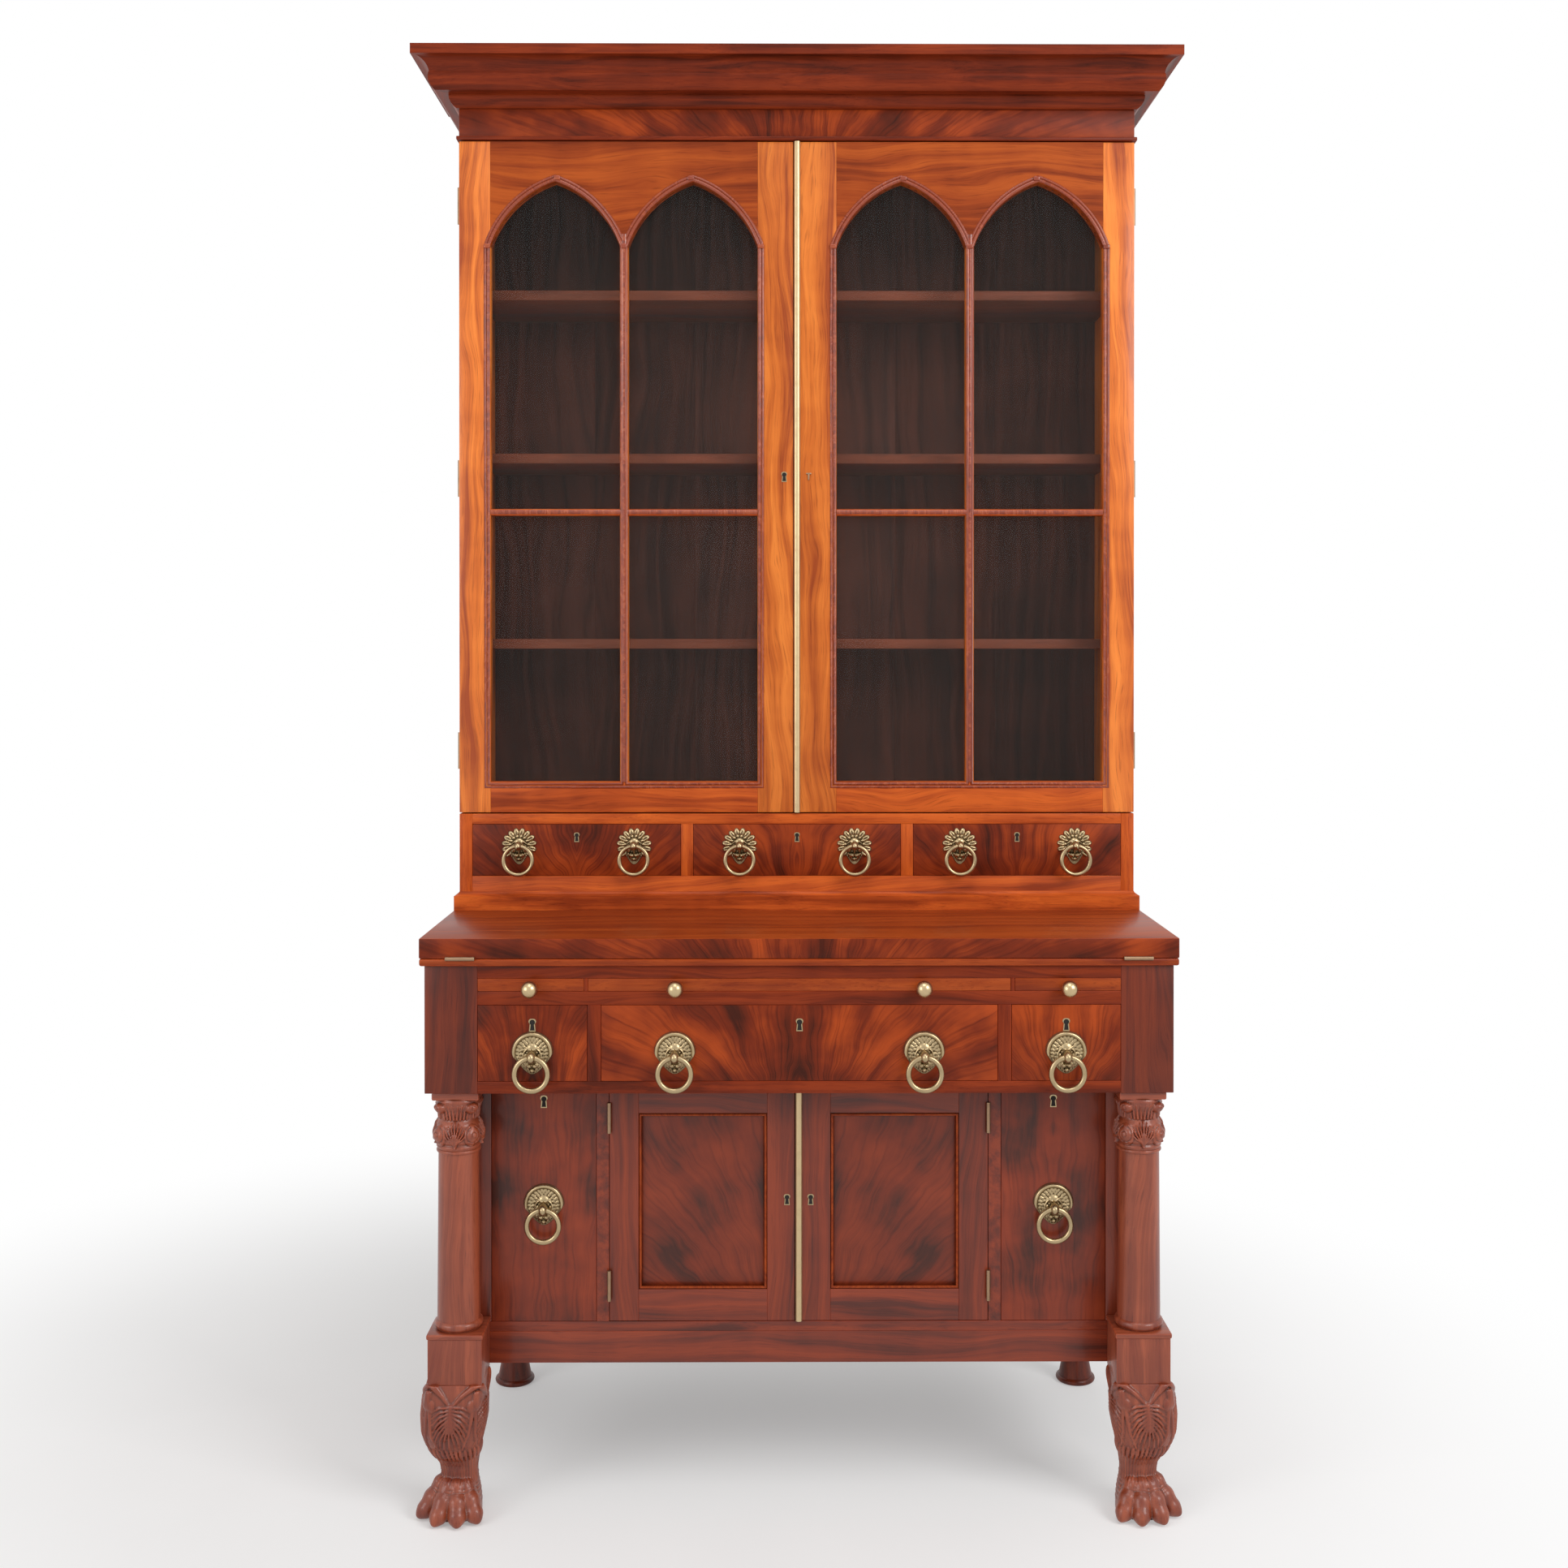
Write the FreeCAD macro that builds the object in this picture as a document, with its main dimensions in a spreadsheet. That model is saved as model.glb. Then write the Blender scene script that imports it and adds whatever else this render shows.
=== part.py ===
import FreeCAD, Part
import math
import os
from FreeCAD import Placement, Rotation, Vector

# Secretaire bookcase: a glazed bookcase over a fold-over writing desk, drawers, a cupboard and paw feet.
# Millimetres, +X to the viewer's right, +Y to the back, +Z up. The origin is on the floor, at the
# middle of the width and half-way between the toe tips and the back. "Front" sizes count from the back.

SIZES = {
    # Whole piece
    "back_thickness": 12.0,
    "side_thickness": 18.0,
    # Lower case
    "leg_height": 204.0,
    "lower_front": 470.0,
    "base_rail_height": 48.0,
    "lower_floor_thickness": 15.0,
    "lower_opening_height": 365.0,
    "lower_door_thickness": 22.0,
    "lower_stile_width": 68.5,
    "partition_thickness": 19.0,
    "cupboard_half": 288.0,
    # Frieze box with its drawers and slides
    "frieze_half": 553.0,
    "frieze_front": 543.0,
    "frieze_frame_thickness": 18.0,
    "frieze_post_width": 78.0,
    "frieze_sill_height": 18.0,
    "frieze_drawer_height": 113.0,
    "slide_rail_height": 20.0,
    "slide_height": 19.0,
    "desk_rail_height": 19.0,
    "dust_board_thickness": 12.0,
    "frieze_centre_half": 293.0,
    "frieze_divider_width": 20.0,
    "centre_slide_half": 312.0,
    "slide_divider_width": 6.0,
    "slide_back": 60.0,
    "slide_clearance": 0.3,
    # Desk leaves
    "desk_overhang": 7.0,
    "bed_thickness": 11.0,
    "flap_thickness": 29.6,
    "flap_gap": 0.4,
    "flap_back_clearance": 1.0,
    "flap_barrel_radius": 3.0,
    "flap_barrel_length": 43.0,
    "flap_barrel_inset": 60.5,
    "barrel_clearance": 0.3,
    # Bookcase
    "upper_inset": 1.0,
    "upper_front": 263.0,
    "upper_sill_height": 85.0,
    "base_moulding_height": 60.0,
    "base_moulding_reach": 8.0,
    "base_moulding_cove": 7.0,
    "base_moulding_hollow": 1.4,
    "small_drawer_height": 85.0,
    "upper_mid_rail_height": 17.0,
    "upper_stile_width": 21.0,
    "small_centre_half": 170.0,
    "small_post_width": 20.0,
    "small_partition_thickness": 14.0,
    "upper_board_thickness": 16.0,
    "upper_door_thickness": 22.0,
    "upper_door_height": 1096.0,
    "upper_door_gap": 2.0,
    "frieze_board_height": 51.0,
    "frieze_lip_height": 6.0,
    "frieze_lip_reach": 4.0,
    "shelf_thickness": 16.0,
    "shelf_front": 205.0,
    "shelf_end_gap": 0.3,
    "lower_shelf_rise": 270.0,
    "middle_shelf_rise": 579.0,
    "upper_shelf_rise": 851.0,
    # Cornice tiers, from the frieze up
    "bed_mould_rise": 20.0,
    "bed_mould_start": 3.5,
    "bed_mould_reach": 14.0,
    "bed_mould_bulge": 3.5,
    "corona_soffit": 33.0,
    "corona_rise": 28.0,
    "corona_reach": 41.0,
    "corona_bulge": 4.7,
    "cavetto_rise": 20.0,
    "cavetto_reach": 58.0,
    "cavetto_hollow": 4.0,
    "cornice_fillet_rise": 16.0,
    "cornice_reach": 66.0,
    # Glazed doors
    "door_edge_gap": 1.0,
    "outer_stile_width": 51.0,
    "glazed_meeting_reach": 64.5,
    "glazed_bottom_rail": 50.0,
    "muntin_width": 13.6,
    "bar_height": 10.0,
    "bar_level": 491.0,
    "arch_head_height": 171.0,
    "arch_centre_shift": 55.0,
    "arch_centre_drop": 55.0,
    "glass_thickness": 3.0,
    "glass_setback": 10.0,
    # Panelled doors
    "panel_stile_width": 44.0,
    "panel_meeting_reach": 48.0,
    "panel_rail_height": 48.0,
    "panel_thickness": 10.0,
    "panel_setback": 6.0,
    "inset_gap": 0.8,
    # Brass strip on the meeting edge of the right-hand doors
    "astragal_width": 11.0,
    # Door hinge knuckles
    "knuckle_radius": 3.0,
    "upper_knuckle_length": 60.0,
    "lower_knuckle_length": 46.0,
    "knuckle_end_margin": 70.0,
    "lower_knuckle_margin": 32.0,
    # Drawers
    "drawer_gap": 0.5,
    "runner_clearance": 0.3,
    "drawer_face_thickness": 18.0,
    "drawer_side_thickness": 10.0,
    "drawer_bottom_thickness": 6.0,
    "drawer_bottom_rise": 5.0,
    "small_drawer_side": 70.0,
    "frieze_drawer_side": 95.0,
    "bottle_drawer_side": 230.0,
    "small_drawer_back": 30.0,
    "frieze_drawer_back": 60.0,
    "bottle_drawer_back": 60.0,
    # Ring pulls
    "plate_thickness": 3.0,
    "pull_standoff": 15.0,
    "boss_stem_radius": 5.0,
    "ring_clearance": 0.3,
    "large_plate_radius": 31.0,
    "large_plate_rise": 5.0,
    "large_boss_radius": 9.0,
    "large_ring_radius": 24.3,
    "large_ring_tube": 4.0,
    "small_plate_radius": 28.5,
    "small_boss_radius": 8.0,
    "small_ring_radius": 23.2,
    "small_ring_tube": 3.4,
    "small_pull_spread": 94.0,
    "small_pull_height": 50.0,
    "frieze_pull_spread": 184.0,
    "frieze_pull_height": 38.0,
    "bottle_pull_height": 174.0,
    # Slide knobs
    "knob_radius": 12.5,
    "knob_stem_radius": 5.0,
    "knob_standoff": 15.0,
    "knob_drop": 4.2,
    "slide_knob_spread": 183.0,
    # Columns, plinths and feet
    "column_inset": 44.0,
    "plinth_width": 80.0,
    "plinth_drop": 3.0,
    "plinth_height": 67.0,
    "plinth_cap_height": 8.0,
    "plinth_cap_overhang": 2.0,
    "column_base_radius": 29.0,
    "column_base_tube": 7.0,
    "column_foot_radius": 32.0,
    "column_neck_radius": 30.0,
    "astragal_ring_tube": 3.0,
    "capital_height": 87.0,
    "capital_bulge_radius": 35.5,
    "capital_bulge_level": 24.0,
    "capital_waist_radius": 30.5,
    "capital_waist_level": 56.0,
    "abacus_height": 12.0,
    "knee_level": 148.0,
    "knee_width": 94.0,
    "knee_depth": 84.0,
    "knee_outset": 6.0,
    "knee_advance": 3.5,
    "hock_level": 112.0,
    "hock_width": 82.0,
    "hock_depth": 74.0,
    "hock_outset": 6.5,
    "ankle_head": 83.0,
    "ankle_head_width": 60.0,
    "ankle_level": 61.0,
    "ankle_width": 53.0,
    "ankle_depth": 54.0,
    "ankle_inset": 1.0,
    "ankle_setback": 12.0,
    "instep_level": 35.0,
    "paw_width": 68.0,
    "paw_depth": 64.0,
    "paw_outset": 1.5,
    "paw_advance": 5.0,
    "toe_advance": 32.0,
    "toe_knuckle_radius": 13.5,
    "toe_knuckle_level": 27.0,
    "toe_knuckle_reach": 30.0,
    "toe_tip_radius": 10.5,
    "toe_tip_level": 8.5,
    "rear_foot_inset": 59.0,
    "rear_foot_front": 50.0,
    "rear_foot_radius": 34.0,
    "rear_foot_edge": 10.0,
    "rear_neck_radius": 21.0,
    "rear_neck_level": 50.0,
    "rear_top_radius": 28.0,
}

BACK_BOARD_COUNT = 6
SIDES = {"left": -1, "right": 1}
SECTION_CORNER = 0.45
TOE_ANGLES = (-40.0, -9.0, 25.0, 62.0)
TOE_BONE_SHARE = 0.9

doc = FreeCAD.newDocument("SecretaireBookcase")
sheet = doc.addObject("Spreadsheet::Sheet", "Sizes")


class Size:
    """A length that keeps both its number and the spreadsheet expression that gives it."""

    def __init__(self, number, text):
        self.number = number
        self.text = text

    def __add__(self, other):
        other = as_size(other)
        return Size(self.number + other.number, f"({self.text} + {other.text})")

    def __sub__(self, other):
        other = as_size(other)
        return Size(self.number - other.number, f"({self.text} - {other.text})")

    def __mul__(self, factor):
        return Size(self.number * factor, f"({self.text} * {factor})")

    def __truediv__(self, divisor):
        return Size(self.number / divisor, f"({self.text} / {divisor})")

    def __neg__(self):
        return Size(-self.number, f"(0 - {self.text})")


def as_size(value):
    """Turn a plain number into a Size."""
    if isinstance(value, Size):
        return value
    return Size(float(value), str(float(value)))


class SizeTable:
    """Every driving dimension of the sheet under its own name."""


def fill_sheet():
    """Write the driving dimensions to the sheet and return them by name."""
    table = SizeTable()
    for row, (name, number) in enumerate(SIZES.items(), start=1):
        sheet.set(f"A{row}", name)
        sheet.set(f"B{row}", str(number))
        sheet.setAlias(f"B{row}", name)
    doc.recompute()
    for name in SIZES:
        setattr(table, name, Size(float(sheet.get(name)), f"Sizes.{name}"))
    return table


size = fill_sheet()
nodes = []


# Helpers for places

def depth(back, front):
    """Low and high y between two distances from the back plane."""
    half = overall_depth / 2
    return (half - front, half - back)


def y_at(front):
    """The y of a distance from the back plane."""
    return overall_depth / 2 - front


def span(side, inner, outer):
    """Low and high x between two distances from the middle, on one side."""
    if side > 0:
        return (as_size(inner), as_size(outer))
    return (-as_size(outer), -as_size(inner))


def both(half):
    """Low and high x of a board that is centred on the middle."""
    return (-half, half)


def shifted(side, distance):
    """A distance from the middle, signed for one side."""
    if side > 0:
        return distance
    return -distance


# Helpers for solids

def bind(part, **sizes):
    """Bind properties of a part to spreadsheet expressions."""
    for name, value in sizes.items():
        part.setExpression(name, as_size(value).text)


def place(part, x, y, z, rotation=Rotation()):
    """Turn a part, then bind its position."""
    part.Placement = Placement(Vector(0, 0, 0), rotation)
    for axis, value in zip("xyz", (x, y, z)):
        part.setExpression(f"Placement.Base.{axis}", as_size(value).text)
    return part


def board(name, x, y, z):
    """Rectangular board between pairs of x, y and z."""
    part = doc.addObject("Part::Box", name)
    bind(part, Length=x[1] - x[0], Width=y[1] - y[0], Height=z[1] - z[0])
    return place(part, x[0], y[0], z[0])


ALONG_FRONT = Rotation(Vector(1, 0, 0), 90)
ALONG_WIDTH = Rotation(Vector(0, 1, 0), 90)


def rod(name, radius, length, x, y, z, rotation=Rotation()):
    """Cylinder that starts at a point and runs along Z, or along the turned axis."""
    part = doc.addObject("Part::Cylinder", name)
    bind(part, Radius=radius, Height=length)
    return place(part, x, y, z, rotation)


def taper(name, low_radius, high_radius, height, x, y, z):
    """Upright cone frustum."""
    part = doc.addObject("Part::Cone", name)
    bind(part, Radius1=low_radius, Radius2=high_radius, Height=height)
    return place(part, x, y, z)


def ring(name, radius, tube, x, y, z, rotation=Rotation()):
    """Torus about a point."""
    part = doc.addObject("Part::Torus", name)
    bind(part, Radius1=radius, Radius2=tube)
    return place(part, x, y, z, rotation)


def ball(name, radius, x, y, z):
    """Sphere about a point."""
    part = doc.addObject("Part::Sphere", name)
    bind(part, Radius=radius)
    return place(part, x, y, z)


def fused(name, parts):
    """One solid out of several."""
    part = doc.addObject("Part::MultiFuse", name)
    part.Shapes = parts
    part.Refine = True
    return part


def cut(name, base, tools):
    """A solid with others cut out of it."""
    part = doc.addObject("Part::Cut", name)
    part.Base = base
    part.Tool = tools[0] if len(tools) == 1 else fused(name + "_tools", tools)
    return part


def form(name, shape):
    """A shape worked out from the sheet's sizes."""
    part = doc.addObject("Part::Feature", name)
    part.Shape = shape
    part.Placement = Placement()
    return part


def node(label, parts):
    """Keep one part, or a group of separate solids, as a named piece."""
    part = parts[0]
    if len(parts) > 1:
        part = doc.addObject("Part::Compound", label)
        part.Links = parts
    part.Label = label
    nodes.append(part)


# Levels and planes that several pieces share

overall_depth = size.frieze_front + size.toe_advance
lower_half = size.frieze_half - size.side_thickness
upper_half = size.frieze_half - size.upper_inset
desk_half = size.frieze_half + size.desk_overhang
desk_front = size.frieze_front + size.desk_overhang
column_spread = size.frieze_half - size.column_inset
rear_foot_spread = size.frieze_half - size.rear_foot_inset

rail_top = size.leg_height + size.base_rail_height
lower_sill = rail_top + size.lower_floor_thickness
frieze_bottom = lower_sill + size.lower_opening_height
frieze_sill = frieze_bottom + size.frieze_sill_height
frieze_head = frieze_sill + size.frieze_drawer_height
slide_sill = frieze_head + size.slide_rail_height
slide_head = slide_sill + size.slide_height
bed_bottom = slide_head + size.desk_rail_height
bed_top = bed_bottom + size.bed_thickness
flap_bottom = bed_top + size.flap_gap
flap_top = flap_bottom + size.flap_thickness
flap_axis_level = bed_top + size.flap_gap / 2
flap_axis_front = desk_front + size.flap_gap
small_sill = bed_top + size.upper_sill_height
small_head = small_sill + size.small_drawer_height
upper_deck = small_head + size.upper_mid_rail_height
door_foot = upper_deck + size.upper_door_gap
door_head = door_foot + size.upper_door_height
lip_bottom = door_head + size.upper_door_gap
upper_top = lip_bottom + size.frieze_board_height

lower_frame_back = size.lower_front - size.lower_door_thickness
frieze_frame_back = size.frieze_front - size.frieze_frame_thickness
frieze_inner = size.frieze_half - size.side_thickness
frieze_post_inner = size.frieze_half - size.frieze_post_width
frieze_side_inner = size.frieze_centre_half + size.frieze_divider_width
lower_inner = lower_half - size.side_thickness
bottle_inner = size.cupboard_half + size.partition_thickness
bottle_outer = lower_half - size.lower_stile_width
loper_inner = size.centre_slide_half + size.slide_divider_width
upper_side_front = size.upper_front - size.upper_door_thickness - size.slide_clearance
upper_inner = upper_half - size.side_thickness
small_side_inner = size.small_centre_half + size.small_post_width
small_outer = upper_half - size.upper_stile_width
flap_back = size.upper_front + size.base_moulding_reach + size.flap_back_clearance
column_front = (size.lower_front + size.frieze_front) / 2
column_y = y_at(column_front)
strip_edge = -(size.astragal_width / 2)


# Lower case

def lower_sides():
    """Side boards of the recessed case and of the frieze box above it."""
    parts = []
    for word, side in SIDES.items():
        parts.append(board(f"case_side_{word}", span(side, lower_inner, lower_half),
                           depth(size.back_thickness, lower_frame_back), (size.leg_height, frieze_bottom)))
        parts.append(board(f"frieze_side_{word}", span(side, frieze_inner, size.frieze_half),
                           depth(as_size(0), frieze_frame_back), (frieze_bottom, bed_bottom)))
    node("lower_sides", parts)


def lower_boards():
    """Floors, partitions, the dust board and the guides between drawers and slides."""
    behind_frieze = depth(size.back_thickness, frieze_frame_back)
    dust_bottom = slide_sill - size.dust_board_thickness
    parts = [
        board("lower_floor", both(lower_inner), depth(size.back_thickness, lower_frame_back),
              (rail_top, lower_sill)),
        board("frieze_floor", both(frieze_inner), behind_frieze, (frieze_bottom, frieze_sill)),
        board("dust_board", both(frieze_inner), behind_frieze, (dust_bottom, slide_sill)),
    ]
    for word, side in SIDES.items():
        parts.append(board(f"partition_{word}", span(side, size.cupboard_half, bottle_inner),
                           depth(size.back_thickness, size.lower_front), (lower_sill, frieze_bottom)))
        parts.append(board(f"drawer_guide_{word}", span(side, size.frieze_centre_half, frieze_side_inner),
                           behind_frieze, (frieze_sill, dust_bottom)))
        parts.append(board(f"slide_guide_{word}", span(side, size.centre_slide_half, loper_inner),
                           behind_frieze, (slide_sill, bed_bottom)))
    node("lower_boards", parts)


def lower_face_frame():
    """Rails, stiles and posts that show on the front of the lower part."""
    low = depth(lower_frame_back, size.lower_front)
    high = depth(frieze_frame_back, size.frieze_front)
    parts = [
        board("base_rail", both(lower_half), low, (size.leg_height, rail_top)),
        board("floor_edge", both(lower_half), low, (rail_top, lower_sill)),
        board("frieze_sill_rail", both(frieze_post_inner), high, (frieze_bottom, frieze_sill)),
        board("slide_rail", both(frieze_post_inner), high, (frieze_head, slide_sill)),
        board("desk_rail", both(frieze_post_inner), high, (slide_head, bed_bottom)),
    ]
    for word, side in SIDES.items():
        parts.append(board(f"lower_stile_{word}", span(side, bottle_outer, lower_half), low,
                           (lower_sill, frieze_bottom)))
        parts.append(board(f"frieze_post_{word}", span(side, frieze_post_inner, size.frieze_half), high,
                           (frieze_bottom, bed_bottom)))
        parts.append(board(f"frieze_divider_{word}", span(side, size.frieze_centre_half, frieze_side_inner),
                           high, (frieze_sill, frieze_head)))
        parts.append(board(f"slide_divider_{word}", span(side, size.centre_slide_half, loper_inner), high,
                           (slide_sill, slide_head)))
    node("lower_face_frame", parts)


def back_boards():
    """Upright boards that close the back of both cases."""
    parts = []
    thickness = depth(as_size(0), size.back_thickness)
    lower_step = lower_half * 2 / BACK_BOARD_COUNT
    upper_step = upper_inner * 2 / BACK_BOARD_COUNT
    for number in range(BACK_BOARD_COUNT):
        low = lower_step * number - lower_half
        parts.append(board(f"lower_back_{number + 1}", (low, low + lower_step), thickness,
                           (size.leg_height, bed_bottom)))
        low = upper_step * number - upper_inner
        parts.append(board(f"upper_back_{number + 1}", (low, low + upper_step), thickness,
                           (bed_top, upper_top)))
    node("back_boards", parts)


# Desk leaves

def barrel_rods(name, radius, ends):
    """One rod along the flap's hinge line for each hinge."""
    parts = []
    outer = desk_half - size.flap_barrel_inset + size.flap_barrel_length / 2 + ends
    inner = outer - size.flap_barrel_length - ends * 2
    for word, side in SIDES.items():
        x = span(side, inner, outer)
        parts.append(rod(f"{name}_{word}", radius, x[1] - x[0], x[0], y_at(flap_axis_front), flap_axis_level,
                         ALONG_WIDTH))
    return parts


def desk_leaves():
    """Fixed bed, and the flap that folds over forwards on it."""
    notch = size.flap_barrel_radius + size.barrel_clearance
    bed = board("bed_board", both(desk_half), depth(as_size(0), desk_front), (bed_bottom, bed_top))
    node("desk_bed", [cut("bed_notched", bed, barrel_rods("bed_notch", notch, size.barrel_clearance))])
    flap = board("flap_board", both(desk_half), depth(flap_back, desk_front),
                 (flap_bottom, flap_top))
    node("writing_flap", [cut("flap_notched", flap, barrel_rods("flap_notch", notch, size.barrel_clearance))])


# Slides under the desk

def knob(name, x, z):
    """Turned knob on the front of a slide."""
    y = y_at(size.frieze_front)
    stem = rod(f"{name}_stem", size.knob_stem_radius, size.knob_standoff, x, y, z, ALONG_FRONT)
    head = ball(f"{name}_head", size.knob_radius, x, y - size.knob_standoff, z)
    return fused(name, [stem, head])


def slides():
    """Two lopers that carry the open flap, and the wide slide between them."""
    fit = size.slide_clearance
    run = depth(size.slide_back, size.frieze_front)
    level = (slide_sill + fit, slide_head - fit)
    knob_level = (slide_sill + slide_head) / 2 - size.knob_drop
    for word, side in SIDES.items():
        node(f"{word}_loper", [board(f"{word}_loper_board",
                                     span(side, loper_inner + fit, frieze_post_inner - fit), run, level)])
        middle = shifted(side, (loper_inner + frieze_post_inner) / 2)
        node(f"{word}_loper_knob", [knob(f"{word}_loper_knob_turned", middle, knob_level)])
    node("centre_slide", [board("centre_slide_board", both(size.centre_slide_half - fit), run, level)])
    node("centre_slide_knobs", [knob(f"centre_knob_{word}", shifted(side, size.slide_knob_spread), knob_level)
                                for word, side in SIDES.items()])


# Ring pulls

def plate_and_boss(name, kind, x, front, z):
    """Round plate, and a boss on it with a cross hole for the ring."""
    face = y_at(front)
    plate_front = face - size.plate_thickness
    boss_radius = getattr(size, f"{kind}_boss_radius")
    ring_radius = getattr(size, f"{kind}_ring_radius")
    drop = ring_radius.number - math.sqrt(ring_radius.number ** 2 - boss_radius.number ** 2)
    drop_text = f"({ring_radius.text} - sqrt({ring_radius.text} ^ 2 - {boss_radius.text} ^ 2))"
    hole = getattr(size, f"{kind}_ring_tube") + Size(drop, drop_text) + size.ring_clearance
    plate_level = z + size.large_plate_rise if kind == "large" else z
    plate = rod(f"{name}_plate", getattr(size, f"{kind}_plate_radius"), size.plate_thickness, x, face,
                plate_level, ALONG_FRONT)
    stem = rod(f"{name}_stem", size.boss_stem_radius, size.pull_standoff - size.plate_thickness, x,
               plate_front, z, ALONG_FRONT)
    head = ball(f"{name}_head", boss_radius, x, face - size.pull_standoff, z)
    eye = rod(f"{name}_eye", hole, boss_radius * 2, x - boss_radius, face - size.pull_standoff, z, ALONG_WIDTH)
    boss = cut(f"{name}_boss", fused(f"{name}_cast", [stem, head]), [eye])
    return [plate, boss]


def hanging_ring(label, kind, x, front, z):
    """Ring that hangs in its boss."""
    radius = getattr(size, f"{kind}_ring_radius")
    node(label, [ring(f"{label}_round", radius, getattr(size, f"{kind}_ring_tube"), x,
                      y_at(front) - size.pull_standoff, z - radius, ALONG_FRONT)])


def pulls(drawer, kind, places, front, z):
    """Plates of one drawer as one piece, and a ring for each."""
    plates = []
    for word, x in places.items():
        plates.extend(plate_and_boss(f"{drawer}_pull{word}", kind, x, front, z))
        hanging_ring(f"{drawer}{word}_ring", kind, x, front, z)
    node(f"{drawer}_plates", plates)


# Drawers

def drawer(label, x, z, front, back, side_height):
    """Open box behind a face that fills its opening."""
    gap = size.drawer_gap
    left = x[0] + gap
    right = x[1] - gap
    wall = size.drawer_side_thickness
    face_back = front - size.drawer_face_thickness
    foot = z[0] + size.runner_clearance
    side_level = (foot, foot + side_height)
    bottom = foot + size.drawer_bottom_rise
    inside = (left + wall, right - wall)
    node(label, [
        board(f"{label}_face", (left, right), depth(face_back, front), (z[0] + gap, z[1] - gap)),
        board(f"{label}_side_left", (left, left + wall), depth(back, face_back), side_level),
        board(f"{label}_side_right", (right - wall, right), depth(back, face_back), side_level),
        board(f"{label}_back", inside, depth(back, back + wall), side_level),
        board(f"{label}_bottom", inside, depth(back + wall, face_back),
              (bottom, bottom + size.drawer_bottom_thickness)),
    ])


def small_drawers():
    """Three short drawers under the glazed doors, two pulls each."""
    level = (small_sill, small_head)
    axis = small_sill + size.small_pull_height
    openings = {"left": span(-1, small_side_inner, small_outer), "centre": both(size.small_centre_half),
                "right": span(1, small_side_inner, small_outer)}
    for word, x in openings.items():
        label = f"{word}_small_drawer"
        drawer(label, x, level, size.upper_front, size.small_drawer_back, size.small_drawer_side)
        middle = (x[0] + x[1]) / 2
        places = {"_a": middle - size.small_pull_spread, "_b": middle + size.small_pull_spread}
        pulls(label, "small", places, size.upper_front, axis)


def frieze_drawers():
    """Two short drawers and a wide one under the slides."""
    level = (frieze_sill, frieze_head)
    axis = frieze_sill + size.frieze_pull_height
    for word, side in SIDES.items():
        label = f"{word}_frieze_drawer"
        x = span(side, frieze_side_inner, frieze_post_inner)
        drawer(label, x, level, size.frieze_front, size.frieze_drawer_back, size.frieze_drawer_side)
        pulls(label, "large", {"": (x[0] + x[1]) / 2}, size.frieze_front, axis)
    label = "centre_frieze_drawer"
    drawer(label, both(size.frieze_centre_half), level, size.frieze_front, size.frieze_drawer_back,
           size.frieze_drawer_side)
    pulls(label, "large", {"_a": -size.frieze_pull_spread, "_b": size.frieze_pull_spread}, size.frieze_front,
          axis)


def bottle_drawers():
    """Deep drawers either side of the cupboard."""
    for word, side in SIDES.items():
        label = f"{word}_bottle_drawer"
        x = span(side, bottle_inner, bottle_outer)
        drawer(label, x, (lower_sill, frieze_bottom), size.lower_front, size.bottle_drawer_back,
               size.bottle_drawer_side)
        pulls(label, "large", {"": (x[0] + x[1]) / 2}, size.lower_front, lower_sill + size.bottle_pull_height)


# Panelled cupboard doors

def meeting_edge(side):
    """Inner edge of a door: the left door stops short of the strip that the right door carries."""
    if side > 0:
        return strip_edge
    return size.astragal_width / 2 + size.door_edge_gap


def strip(label, front, low, high):
    """Half-round brass strip on the meeting edge of a right-hand door."""
    part = doc.addObject("Part::Cylinder", f"{label}_half_round")
    part.Angle = 180
    bind(part, Radius=size.astragal_width / 2, Height=high - low)
    place(part, as_size(0), y_at(front), low, Rotation(Vector(0, 0, 1), 180))
    node(label, [part])


def panelled_doors():
    """Two framed doors, each with a flat recessed panel."""
    gap = size.inset_gap
    low = lower_sill + gap
    high = frieze_bottom - gap
    thickness = depth(lower_frame_back, size.lower_front)
    panel_front = size.lower_front - size.panel_setback
    panel_level = (low + size.panel_rail_height, high - size.panel_rail_height)
    for word, side in SIDES.items():
        edge = meeting_edge(side)
        outer = size.cupboard_half - gap
        inner_stile = size.panel_meeting_reach
        outer_stile = outer - size.panel_stile_width
        between = span(side, inner_stile, outer_stile)
        label = f"{word}_lower_door"
        node(label, [
            board(f"{label}_meeting_stile", span(side, edge, inner_stile), thickness, (low, high)),
            board(f"{label}_hinge_stile", span(side, outer_stile, outer), thickness, (low, high)),
            board(f"{label}_bottom_rail", between, thickness, (low, panel_level[0])),
            board(f"{label}_top_rail", between, thickness, (panel_level[1], high)),
            board(f"{label}_panel", between, depth(panel_front - size.panel_thickness, panel_front),
                  panel_level),
        ])
    strip("lower_astragal", size.lower_front, low, high)


# Glazed doors

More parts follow.
